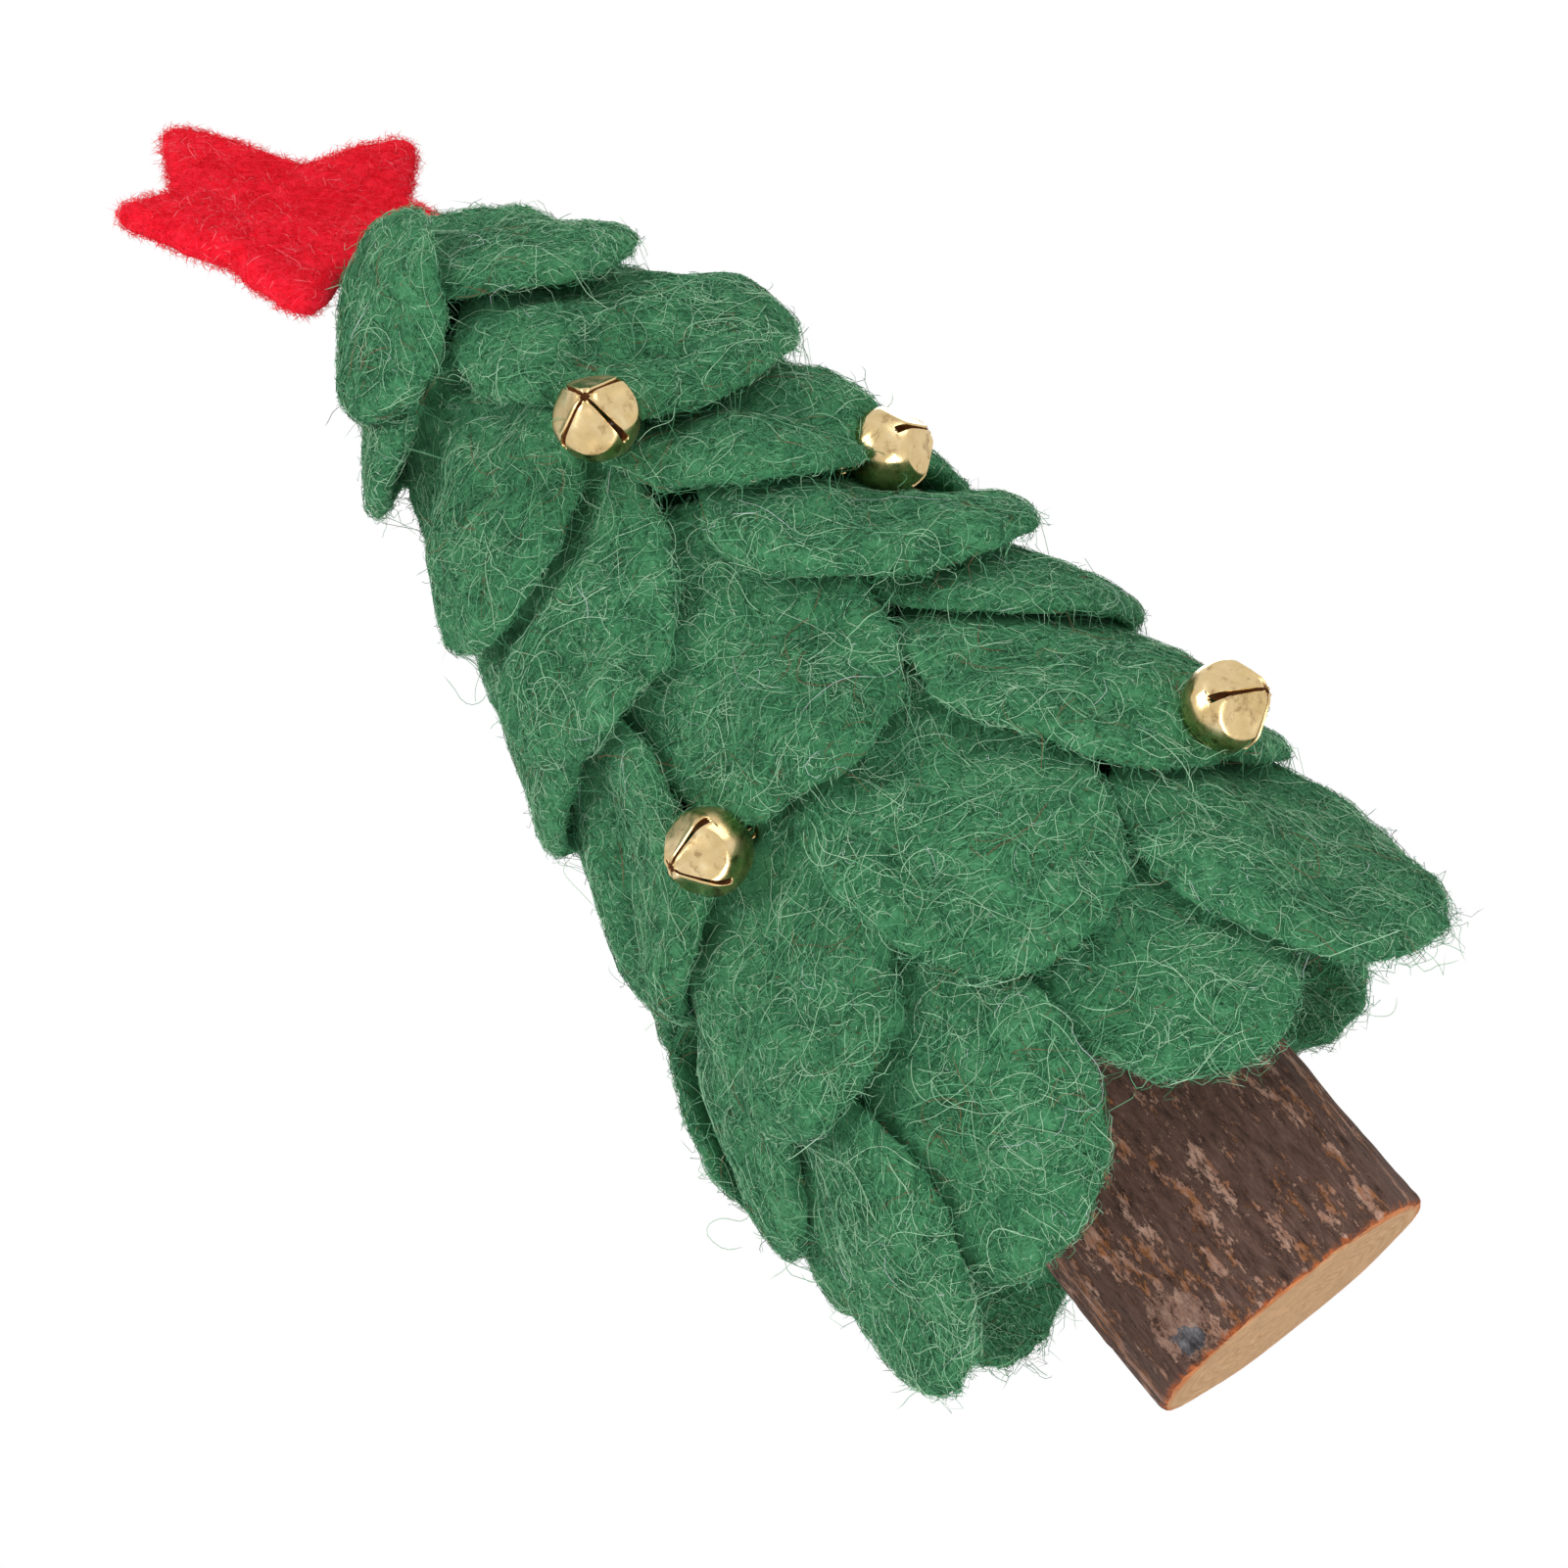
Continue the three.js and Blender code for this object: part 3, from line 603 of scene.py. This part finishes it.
def trunk_material():
    """Bark with a knot. The cut shows pale wood, then a thin orange line of inner bark."""
    material, tree, shader = new_material("bark")
    bark, scuffs, grain = bark_colour(tree)
    wood, radius, height = end_grain_colour(tree)
    patch, knot_core = knot_shares(tree, height)
    cracks = noise(tree, 1.5, 8, 0.78, (1, 1, 0.6))
    tan = tones(
        tree, cracks,
        (0.41, 78, 54, 45), (0.46, 150, 114, 98), (0.57, 178, 142, 124), (0.7, 204, 172, 154),
    )
    dull = tones(tree, cracks, (0.42, 62, 58, 60), (0.55, 104, 102, 106), (0.68, 146, 144, 148))
    bark = mixed(tree, patch, bark, tan)
    bark = mixed(tree, maths(tree, "MULTIPLY", knot_core, patch), bark, dull)

    ragged = maths(tree, "SUBTRACT", noise(tree, 1.6, 6, 0.75), 0.5)
    rim_from = maths(tree, "MULTIPLY", ragged, RADIUS_RAGGED)
    rim_from = maths(tree, "ADD", rim_from, INNER_BARK_RADIUS)
    ring = maths(tree, "MULTIPLY", maths(tree, "SUBTRACT", radius, rim_from), 0.95, clamp=True)
    ringed = mixed(tree, ring, wood, rgba(214, 132, 80))
    edge = maths(tree, "MULTIPLY", ragged, HEIGHT_RAGGED)
    edge = maths(tree, "ADD", edge, INNER_BARK_HEIGHT)
    low = maths(tree, "MULTIPLY", maths(tree, "SUBTRACT", edge, height), 1.8, clamp=True)
    orange = tones(tree, cracks, (0.42, 150, 74, 38), (0.6, 206, 116, 62))
    side = mixed(tree, low, bark, orange)

    facing = node(tree, "ShaderNodeNewGeometry")
    up = parts_of(tree, facing.outputs["Normal"])[2]
    cut = maths(tree, "GREATER_THAN", maths(tree, "MULTIPLY", up, -1.0), 0.8)
    surface(tree, shader, mixed(tree, cut, side, ringed), 0.85, 0.25)
    relief = maths(tree, "ADD", grain, maths(tree, "MULTIPLY", scuffs, 0.25))
    relief = maths(tree, "ADD", relief, maths(tree, "MULTIPLY", cracks, patch))
    bump(tree, shader, relief, 0.45, 0.8)
    return material


trunk = add_object("log_with_bark", trunk_mesh())
give_material(trunk, trunk_material())


# ---------------------------------------------------------------- bells

def brass_material():
    """Satin brass: pale and warm, uneven in its polish, browned here and there, partly by real
    tarnish and partly by painted dark reflection.
    """
    material, tree, shader = new_material("brass")
    tone = tones(
        tree, noise(tree, 2.6, 4),
        (0.3, 204, 176, 122), (0.55, 218, 192, 142), (0.8, 230, 210, 166),
    )
    # The brown patches are partly real tarnish and partly painted dark reflection.
    tarnish_and_painted_reflection = fade(tree, noise(tree, 1.7, 5, 0.65), (0.54, 0.0), (0.66, 0.6))
    polish = fade(tree, noise(tree, 3.0), (0.38, 0.12), (0.62, 0.32))
    colour = mixed(tree, tarnish_and_painted_reflection, tone, rgba(132, 98, 60))
    surface(tree, shader, colour, polish, metallic=1.0)
    bump(tree, shader, noise(tree, 0.24, 4), 0.025, 0.4)
    return material


def mottled_material(name, size, dark, light, roughness, metallic, depth):
    """Two colours in soft patches of this size, and fine bumps of this depth."""
    material, tree, shader = new_material(name)
    colour = tones(tree, noise(tree, size, 4), dark, light)
    surface(tree, shader, colour, roughness, metallic=metallic)
    bump(tree, shader, noise(tree, 0.3), depth, 0.4)
    return material


BRASS = brass_material()
BELL_INSIDE = mottled_material(
    "bell_inside", 1.2, (0.35, 206, 146, 92), (0.65, 234, 178, 120),
    roughness=0.6, metallic=0.0, depth=0.02,
)
STEEL = mottled_material(
    "pellet_steel", 0.8, (0.35, 120, 118, 114), (0.7, 176, 174, 170),
    roughness=0.35, metallic=1.0, depth=0.03,
)


def bell_radius_at(polar, turn):
    """The shell's outer radius: a ball whose four leaves are pressed nearly flat."""
    radius = BELL_BULGE
    tilt = math.radians(LEAF_TILT)
    for leaf in range(4):
        aside = math.cos(turn - math.radians(45 + 90 * leaf))
        facing = math.sin(polar) * math.sin(tilt) * aside + math.cos(polar) * math.cos(tilt)
        flat = LEAF_FLAT * BELL_BULGE / max(facing, 0.2)
        # The lesser of the two, with the crease between them rounded
        blend = max(LEAF_BLEND - abs(radius - flat), 0) / LEAF_BLEND
        radius = min(radius, flat) - blend * blend * LEAF_BLEND * 0.25
    return radius


def slot_half_width(polar):
    """Half the slot's width in mm, this far from the pole. It closes in a blunt end."""
    start, end = math.radians(SLOT_FROM), math.radians(SLOT_TO)
    width = SLOT_WIDTH + SLOT_GROWTH * (polar - start) / (end - start)
    width += HOLE_GROWTH * math.exp(-(((polar - start) / math.radians(HOLE_REACH)) ** 2))
    bulb = math.radians(BULB_BACK)
    width += BULB_GROWTH * math.exp(-(((polar - end + bulb) / math.radians(BULB_REACH)) ** 2))
    past = (polar - (end - bulb * END_SHARE)) / (bulb * END_SHARE)
    if past >= 1:
        return 0.0
    if past > 0:
        width *= math.sqrt(1 - past**END_POWER)
    return width


def shell_sheet():
    """The outer face of a bell's shell, with its slots at +Z."""
    bend = bmesh.new()
    rows = [math.radians(angle) for angle in SLOT_ROWS + BACK_ROWS]
    made = {}

    def vertex(row, leaf, column):
        polar = rows[row]
        half = slot_half_width(polar)
        # Where there is no slot, a leaf shares its last column with the next leaf.
        if half == 0 and column == LEAF_COLUMNS:
            leaf, column = (leaf + 1) % 4, 0
        key = (row, leaf, column)
        if key not in made:
            gap = half / (BELL_RADIUS * math.sin(polar))
            spread = column / LEAF_COLUMNS * (math.pi / 2 - 2 * gap)
            turn = math.pi / 2 * leaf + gap + spread
            lip = LIP_RISES.get(min(column, LEAF_COLUMNS - column), 0)
            radius = bell_radius_at(polar, turn) + min(1.0, half / LIP_FULL_FROM) * lip
            out = radius * math.sin(polar)
            point = (out * math.cos(turn), out * math.sin(turn), radius * math.cos(polar))
            made[key] = bend.verts.new([value * MM for value in point])
        return made[key]

    for row in range(len(rows) - 1):
        for leaf in range(4):
            for column in range(LEAF_COLUMNS):
                corners = [
                    vertex(row, leaf, column), vertex(row + 1, leaf, column),
                    vertex(row + 1, leaf, column + 1), vertex(row, leaf, column + 1),
                ]
                unique = list(dict.fromkeys(corners))
                if len(unique) >= 3:
                    bend.faces.new(unique)
    last = len(rows) - 1
    back = [vertex(last, leaf, column) for leaf in range(4) for column in range(LEAF_COLUMNS)]
    bend.faces.new(back[::-1])
    bmesh.ops.recalc_face_normals(bend, faces=bend.faces[:])
    return smooth_mesh("bell", bend)


def bell_mesh():
    """A jingle bell's shell, dented a little, brass outside and brown inside."""
    mesh = shell_sheet()
    points, normals, _ = arrays_of(mesh)
    dents = lumpy(0.0, points, BELL_DENTS, DENT_SEED)
    set_points(mesh, points + normals * dents[:, None])
    work = add_object("work", mesh)
    wall = work.modifiers.new("wall", "SOLIDIFY")
    wall.thickness = BELL_WALL * MM
    wall.offset = -1
    wall.material_offset = 1
    edge = work.modifiers.new("edge", "BEVEL")
    edge.width = BELL_BEVEL * MM
    edge.segments = 2
    edge.limit_method = "ANGLE"
    edge.angle_limit = math.radians(50)
    work.data.materials.append(BRASS)
    work.data.materials.append(BELL_INSIDE)
    return baked(work)


def loop_mesh():
    """The wire loop at the bell's back."""
    turns, sides, ring, wire = 28, 10, 0.95, 0.35
    points, faces = [], []
    for turn in range(turns):
        angle = 2 * math.pi * turn / turns
        this, after = turn * sides, (turn + 1) % turns * sides
        for side in range(sides):
            about = 2 * math.pi * side / sides
            away = ring + wire * math.cos(about)
            height = away * math.sin(angle) - BELL_RADIUS - ring
            points.append((away * math.cos(angle), wire * math.sin(about), height))
            beside = (side + 1) % sides
            faces.append((this + side, this + beside, after + beside, after + side))
    mesh = bpy.data.meshes.new("loop")
    mesh.from_pydata([tuple(value * MM for value in p) for p in points], [], faces)
    for face in mesh.polygons:
        face.use_smooth = True
    return mesh


def pellet_mesh():
    bend = bmesh.new()
    bmesh.ops.create_icosphere(bend, subdivisions=4, radius=PELLET_RADIUS * MM)
    return smooth_mesh("pellet", bend)


def bell_frame(aim, lift, roll):
    """The bell's own axes as columns, for the way it points."""
    turn, rise = math.radians(aim), math.radians(lift)
    level = math.cos(rise)
    out = Vector((math.sin(turn) * level, -math.cos(turn) * level, math.sin(rise)))
    up = (Vector((0, 0, 1)) - out * out.z).normalized()
    right = up.cross(out)
    basis = Matrix((right, up, out)).transposed().to_4x4()
    return basis @ Matrix.Rotation(math.radians(roll), 4, "Z")


shell_mesh, ring_mesh, ball_mesh = bell_mesh(), loop_mesh(), pellet_mesh()
ring_mesh.materials.append(BRASS)
ball_mesh.materials.append(STEEL)
bell_things = []
for index, aim in enumerate(BELL_AIMS, 1):
    low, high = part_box(f"bell_pellet_{index}")
    middle = (low + high) / 2
    place = Matrix.Translation(middle + Vector((0, 0, PELLET_DROP * MM))) @ bell_frame(*aim)
    for name, mesh in ((f"bell_{index}", shell_mesh), (f"bell_loop_{index}", ring_mesh)):
        copy = mesh.copy()
        copy.transform(place)
        thing = add_object(name, copy)
        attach(thing, "tree")
        bell_things.append(thing)
    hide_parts(f"bell_shell_{index}")
    ball = ball_mesh.copy()
    ball.transform(Matrix.Translation(middle))
    thing = add_object(f"pellet_ball_{index}", ball)
    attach(thing, f"pellet_{index}")
    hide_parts(f"bell_pellet_{index}")


# ---------------------------------------------------------------- fibres

def tree_of(things):
    """A search tree of the things' surfaces, in mm."""
    points, triangles = stacked([arrays_of(thing.data)[::2] for thing in things])
    return BVHTree.FromPolygons(points.tolist(), triangles.tolist(), all_triangles=True)


every_surface = tree_of([*felt_things.values(), trunk, core, *bell_things])


def scattered(mesh, per_mm2):
    """Random places on a mesh and the normals there."""
    points, normals, triangles = arrays_of(mesh)
    a, b, c = (points[triangles[:, k]] for k in range(3))
    area = np.linalg.norm(np.cross(b - a, c - a), axis=1) / 2
    count = int(area.sum() * per_mm2)
    chosen = rng.choice(len(triangles), count, p=area / area.sum())
    first, second = rng.random(count), rng.random(count)
    over = first + second > 1
    first[over], second[over] = 1 - first[over], 1 - second[over]
    shares = np.stack([1 - first - second, first, second], axis=1)[:, :, None]
    corners = triangles[chosen]
    return (points[corners] * shares).sum(1), unit((normals[corners] * shares).sum(1))


def open_ones(places, normals):
    """Which places nothing else covers closely, and a share of those that are sheltered."""
    starts = (places + normals * LOOK_FROM).tolist()
    kept = np.ones(len(places), bool)
    chance = rng.random(len(places))
    cast = every_surface.ray_cast
    for index, (start, normal) in enumerate(zip(starts, normals.tolist())):
        away = cast(start, normal, SHELTERED_GAP)[3]
        if away is not None:
            kept[index] = away > HIDDEN_GAP and chance[index] < SHELTERED_SHARE
    return kept


def headings(places, normals):
    """Directions along the surface that follow a shared drift loosely, and those square to
    them."""
    drift = [value_noise(places, DRIFT_SIZE, DRIFT_SEED + axis) for axis in range(3)]
    drift = np.stack(drift, axis=1)
    drift = unit(drift - (drift * normals).sum(1, keepdims=True) * normals)
    turned = rng.choice([-1.0, 1.0], len(places))[:, None]
    aim = drift * turned + DRIFT_LOOSENESS * rng.normal(size=normals.shape)
    first = unit(aim - (aim * normals).sum(1, keepdims=True) * normals)
    return first, np.cross(normals, first)


def nap_paths(places, normals, steps, low, high, curl, free_share):
    """Paths that lie in the nap and sink back into it, but for some whose ends are free."""
    count = len(places)
    first, second = headings(places, normals)
    step = rng.uniform(low, high, count) / steps
    free = rng.random(count) < free_share
    curl = np.where(free, FREE_CURL * curl, curl)
    step = np.where(free, FREE_STEP * step, step)
    bend = rng.normal(0, 1, count) * curl
    rise = np.where(free, rng.uniform(*FREE_RISE, count), rng.uniform(*LAID_RISE, count))
    heading = np.zeros(count)
    path = [places - normals * ROOT_DEPTH]
    for _ in range(steps):
        aim = np.cos(heading)[:, None] * first + np.sin(heading)[:, None] * second
        aim = aim + rise[:, None] * normals
        path.append(path[-1] + unit(aim) * step[:, None])
        heading += (bend + rng.normal(0, TURN_CHANGE, count) * curl) * step
        loose = rise * FREE_RISE_KEPT + rng.normal(*FREE_RISE_CHANGE, count)
        laid = rise * LAID_RISE_KEPT + rng.normal(*LAID_RISE_CHANGE, count)
        rise = np.where(free, loose, laid)
    return np.stack(path, axis=1), free


def felt_under(point):
    """The way that the nearest surface faces, and the point's height over it."""
    hit, face, _, _ = every_surface.find_nearest(point)
    face = np.array(face)
    return face, (point - np.array(hit)).dot(face)


def hug(paths, free, low, high):
    """Moves paths that aren't free to between two heights over the felt, but for their
    roots."""
    for index in np.flatnonzero(~free):
        for point in paths[index, 1:]:
            face, height = felt_under(point)
            point += face * (min(high, max(low, height)) - height)


def wander(place, normal, aim, length, low, high, free):
    """One strand that roams over the felt, near its surface, in steps. A free one lets go of
    the felt before its end."""
    steps = max(4, int(length / STRAND_STEP))
    at = place + normal * START_HEIGHT
    path = [at - normal * ROOT_UNDER_START]
    bend, goal = rng.normal(0, FIRST_BEND), rng.uniform(low, high)
    let_go = steps - (int(rng.uniform(*LOOSE_SHARE) * steps) if free else 0)
    for index in range(steps):
        bend = bend * BEND_KEPT + rng.normal(0, BEND_CHANGE)
        turn = bend + (rng.normal(0, KINK_TURN) if rng.random() < KINK_CHANCE else 0)
        aim = aim * math.cos(turn) + np.cross(normal, aim) * math.sin(turn)
        at = at + aim * STRAND_STEP
        if index < let_go:
            face, height = felt_under(at)
            at = at + face * max(MOST_SUNK, min(MOST_CLIMBED, goal - height))
            # A face that is turned sharply from the last one is the edge of other felt.
            normal = face if face.dot(normal) > 0.2 else normal
            aim = aim - aim.dot(normal) * normal
            goal = min(high, max(low, goal + rng.normal(0, HEIGHT_CHANGE)))
        else:
            aim = aim + normal * rng.normal(*LOOSE_TILT)
        aim /= max(np.linalg.norm(aim), 1e-9)
        path.append(at)
    path = np.array(path)
    path[1:-1] = (path[:-2] + 2 * path[1:-1] + path[2:]) / 4
    return path


def resampled(path, count):
    """The same path with this many points."""
    at = np.linspace(0, len(path) - 1, count)
    base = np.minimum(at.astype(int), len(path) - 2)
    part = (at - base)[:, None]
    return path[base] * (1 - part) + path[base + 1] * part


def tubes(paths, radius):
    """Closed three-sided tubes, pointed at both ends, round many paths of equal length."""
    count, long = paths.shape[:2]
    along = unit(paths[:, 2:] - paths[:, :-2])
    aside = unit(np.cross(along, rng.normal(size=(count, 1, 3))))
    above = np.cross(along, aside)
    radius = radius[:, None, None]
    rings = []
    for corner in range(3):
        angle = 2 * math.pi * corner / 3
        ring = math.cos(angle) * aside + math.sin(angle) * above
        rings.append(paths[:, 1:-1] + radius * ring)
    middle = np.stack(rings, axis=2).reshape(count, -1, 3)
    points = np.concatenate([paths[:, :1], middle, paths[:, -1:]], axis=1)
    pattern = []
    for corner in range(3):
        beside = (corner + 1) % 3
        pattern.append((0, 1 + beside, 1 + corner))
        for ring in range(long - 3):
            low, high = 1 + 3 * ring, 4 + 3 * ring
            pattern.append((low + corner, low + beside, high + beside))
            pattern.append((low + corner, high + beside, high + corner))
        last = 1 + 3 * (long - 3)
        pattern.append((last + corner, last + beside, 1 + 3 * (long - 2)))
    size = points.shape[1]
    triangles = np.array(pattern)[None] + (np.arange(count) * size)[:, None, None]
    return points.reshape(-1, 3), triangles.reshape(-1, 3), len(pattern)


def pick(shares, places):
    """A number for each place, by the shares, with darker and lighter patches."""
    patches = value_noise(places, PATCH_SIZE, PATCH_SEED)
    chance = rng.random(len(places)) + PATCH_STRENGTH * patches
    # What falls below 0 or above 1 is folded back.
    chance = 1 - np.abs(1 - np.abs(chance))
    return np.minimum(np.searchsorted(np.cumsum(shares), chance), len(shares) - 1)


def fuzz_on(name, mesh, wool, short, middle, long):
    """One piece with all the fibres that grow on a felt body, or None where none do."""
    parts, slots = [], []

    def grow(paths, radii, kind):
        points, triangles, faces = tubes(paths, rng.uniform(*radii, len(paths)))
        parts.append((points, triangles))
        slots.append(np.repeat(pick(wool[kind], paths[:, 0]), faces))

    def open_spots(per_mm2):
        places, normals = scattered(mesh, per_mm2)
        kept = open_ones(places, normals)
        return places[kept], normals[kept]

    places, normals = open_spots(SHORT_PER_MM2 * short["amount"])
    if not len(places):
        return None
    paths, _ = nap_paths(
        places, normals, short["steps"], *short["length"], SHORT_CURL, short["free"]
    )
    grow(paths, SHORT_RADII, "short")
    places, normals = open_spots(MIDDLE_PER_MM2 * middle["amount"])
    if len(places):
        paths, free = nap_paths(
            places, normals, MIDDLE_STEPS, *middle["length"], MIDDLE_CURL, middle["free"]
        )
        hug(paths, free, *MIDDLE_HEIGHTS)
        grow(paths, MIDDLE_RADII, "middle")
    places, normals = open_spots(LONG_PER_MM2 * long["amount"])
    if len(places):
        aims, _ = headings(places, normals)
        strands = []
        for place, normal, aim in zip(places, normals, aims):
            length = rng.uniform(*long["length"])
            free = rng.random() < long["free"]
            strand = wander(place, normal, aim, length, *long["height"], free)
            strands.append(resampled(strand, STRAND_POINTS))
        grow(np.stack(strands), LONG_RADII, "long")
    made = triangle_mesh(name, *stacked(parts), np.concatenate(slots))
    for material in wool["fibres"]:
        made.materials.append(material)
    return add_object(name, made)


# Each nap's short, middle and long fibres: the amount, times the counts for a square mm, the
# lengths and heights over the felt from least to most, and the share whose ends are free
GREEN_NAP = dict(
    short=dict(amount=1.0, steps=3, length=(0.7, 2.0), free=0.3),
    middle=dict(amount=1.0, length=(2.4, 7.5), free=0.025),
    long=dict(amount=0.95, length=(6.0, 18.0), height=(0.08, 0.4), free=0.015),
)
CORE_NAP = dict(
    short=dict(amount=0.28, steps=3, length=(1.0, 3.0), free=0.1),
    middle=dict(amount=0.3, length=(2.5, 6.0), free=0.1),
    long=dict(amount=0.4, length=(5.0, 10.0), height=(0.2, 1.0), free=0.1),
)
RED_NAP = dict(
    short=dict(amount=1.35, steps=2, length=(1.2, 3.2), free=0.55),
    middle=dict(amount=0.75, length=(2.0, 4.0), free=0.14),
    long=dict(amount=0.35, length=(4.0, 9.0), height=(0.1, 0.5), free=0.08),
)


def dress(thing, node_name, wool, nap):
    """Puts the nap on a felt body and attaches both to the tree. Gives the nap in a list."""
    fuzz = fuzz_on(f"nap_{node_name}", thing.data, wool, **nap)
    for piece in (thing, fuzz):
        if piece:
            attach(piece, "tree")
    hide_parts(node_name)
    return [fuzz] if fuzz else []


for name in felt_names:
    slot, wool, nap = "petal", GREEN_WOOL, GREEN_NAP
    if name == "star":
        slot, wool, nap = "star", RED_WOOL, RED_NAP
    fuzz = dress(felt_things[name], name, wool, nap)
dress(core, "foam_cone", CORE_WOOL_WITH_PAINTED_SHADE, CORE_NAP)

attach(trunk, "tree")
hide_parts("log_trunk")


# ---------------------------------------------------------------- stage

def stage_floor():
    """A pale floor that only the camera sees, and only from above. It fades out all round."""
    mesh = bpy.data.meshes.new("floor")
    corners = [(-1, -1), (1, -1), (1, 1), (-1, 1)]
    points = [(FLOOR_HALF * x, FLOOR_HALF * y, 0) for x, y in corners]
    mesh.from_pydata(points, [], [(0, 1, 2, 3)])
    floor = add_object("floor", mesh)
    floor.location.z = -FLOOR_SINK
    material, tree, shader = new_material("floor")
    surface(tree, shader, (FLOOR_SHADE, FLOOR_SHADE, FLOOR_SHADE, 1), 0.9)
    see_through = node(tree, "ShaderNodeBsdfTransparent")
    side = node(tree, "ShaderNodeNewGeometry")
    away = maths(tree, "MULTIPLY", length_of(tree, object_points(tree)), MM)
    past = maths(tree, "SUBTRACT", away, FLOOR_FADE_FROM)
    gone = maths(tree, "DIVIDE", past, FLOOR_FADE_OVER, clamp=True)
    gone = maths(tree, "MAXIMUM", gone, side.outputs["Backfacing"])
    blended(tree, gone, shader, see_through, tree.nodes["Material Output"])
    mesh.materials.append(material)
    floor.visible_diffuse = False
    floor.visible_glossy = False
    floor.visible_shadow = False


def lamp(name, place, width, power):
    data = bpy.data.lights.new(name, "AREA")
    data.shape = "SQUARE"
    data.size = width
    data.energy = power
    thing = add_object(name, data)
    thing.location = place
    way = Vector(LAMPS_AIM) - Vector(place)
    thing.rotation_euler = way.to_track_quat("-Z", "Y").to_euler()


def white_world():
    """A plain white light all round, at full strength where the camera or a mirror sees it."""
    world = bpy.data.worlds.new("world")
    bpy.context.scene.world = world
    world.use_nodes = True
    tree = world.node_tree
    light = tree.nodes["Background"]
    light.inputs["Color"].default_value = (1, 1, 1, 1)
    light.inputs["Strength"].default_value = WORLD_STRENGTH
    backdrop = node(tree, "ShaderNodeBackground")
    backdrop.inputs["Color"].default_value = (1, 1, 1, 1)
    path = node(tree, "ShaderNodeLightPath")
    seen = maths(tree, "MAXIMUM", path.outputs["Is Camera Ray"], path.outputs["Is Glossy Ray"])
    seen = maths(tree, "MAXIMUM", seen, path.outputs["Is Transmission Ray"])
    blended(tree, seen, light, backdrop, tree.nodes["World Output"])


def photo_camera():
    """The photo's camera, rolled as the photo is."""
    data = bpy.data.cameras.new("camera")
    data.lens = 100
    data.sensor_width = 36
    data.clip_end = 50
    camera = add_object("camera", data)
    camera.matrix_world = (
        Matrix.Translation(CAMERA_PLACE)
        @ Matrix.Rotation(math.radians(CAMERA_TILT), 4, "X")
        @ Matrix.Rotation(math.radians(CAMERA_ROLL), 4, "Z")
    )
    bpy.context.scene.camera = camera


stage_floor()
lamp("key", (-0.55, -0.62, 0.75), 0.5, 5.4)
lamp("fill", (0.75, -0.55, 0.25), 0.6, 2.6)
lamp("low", (-0.15, -0.55, -0.55), 0.5, 3.8)
lamp("back", (0.2, 0.8, 0.6), 0.6, 3.6)
white_world()
photo_camera()
bpy.context.scene.view_settings.view_transform = "Standard"
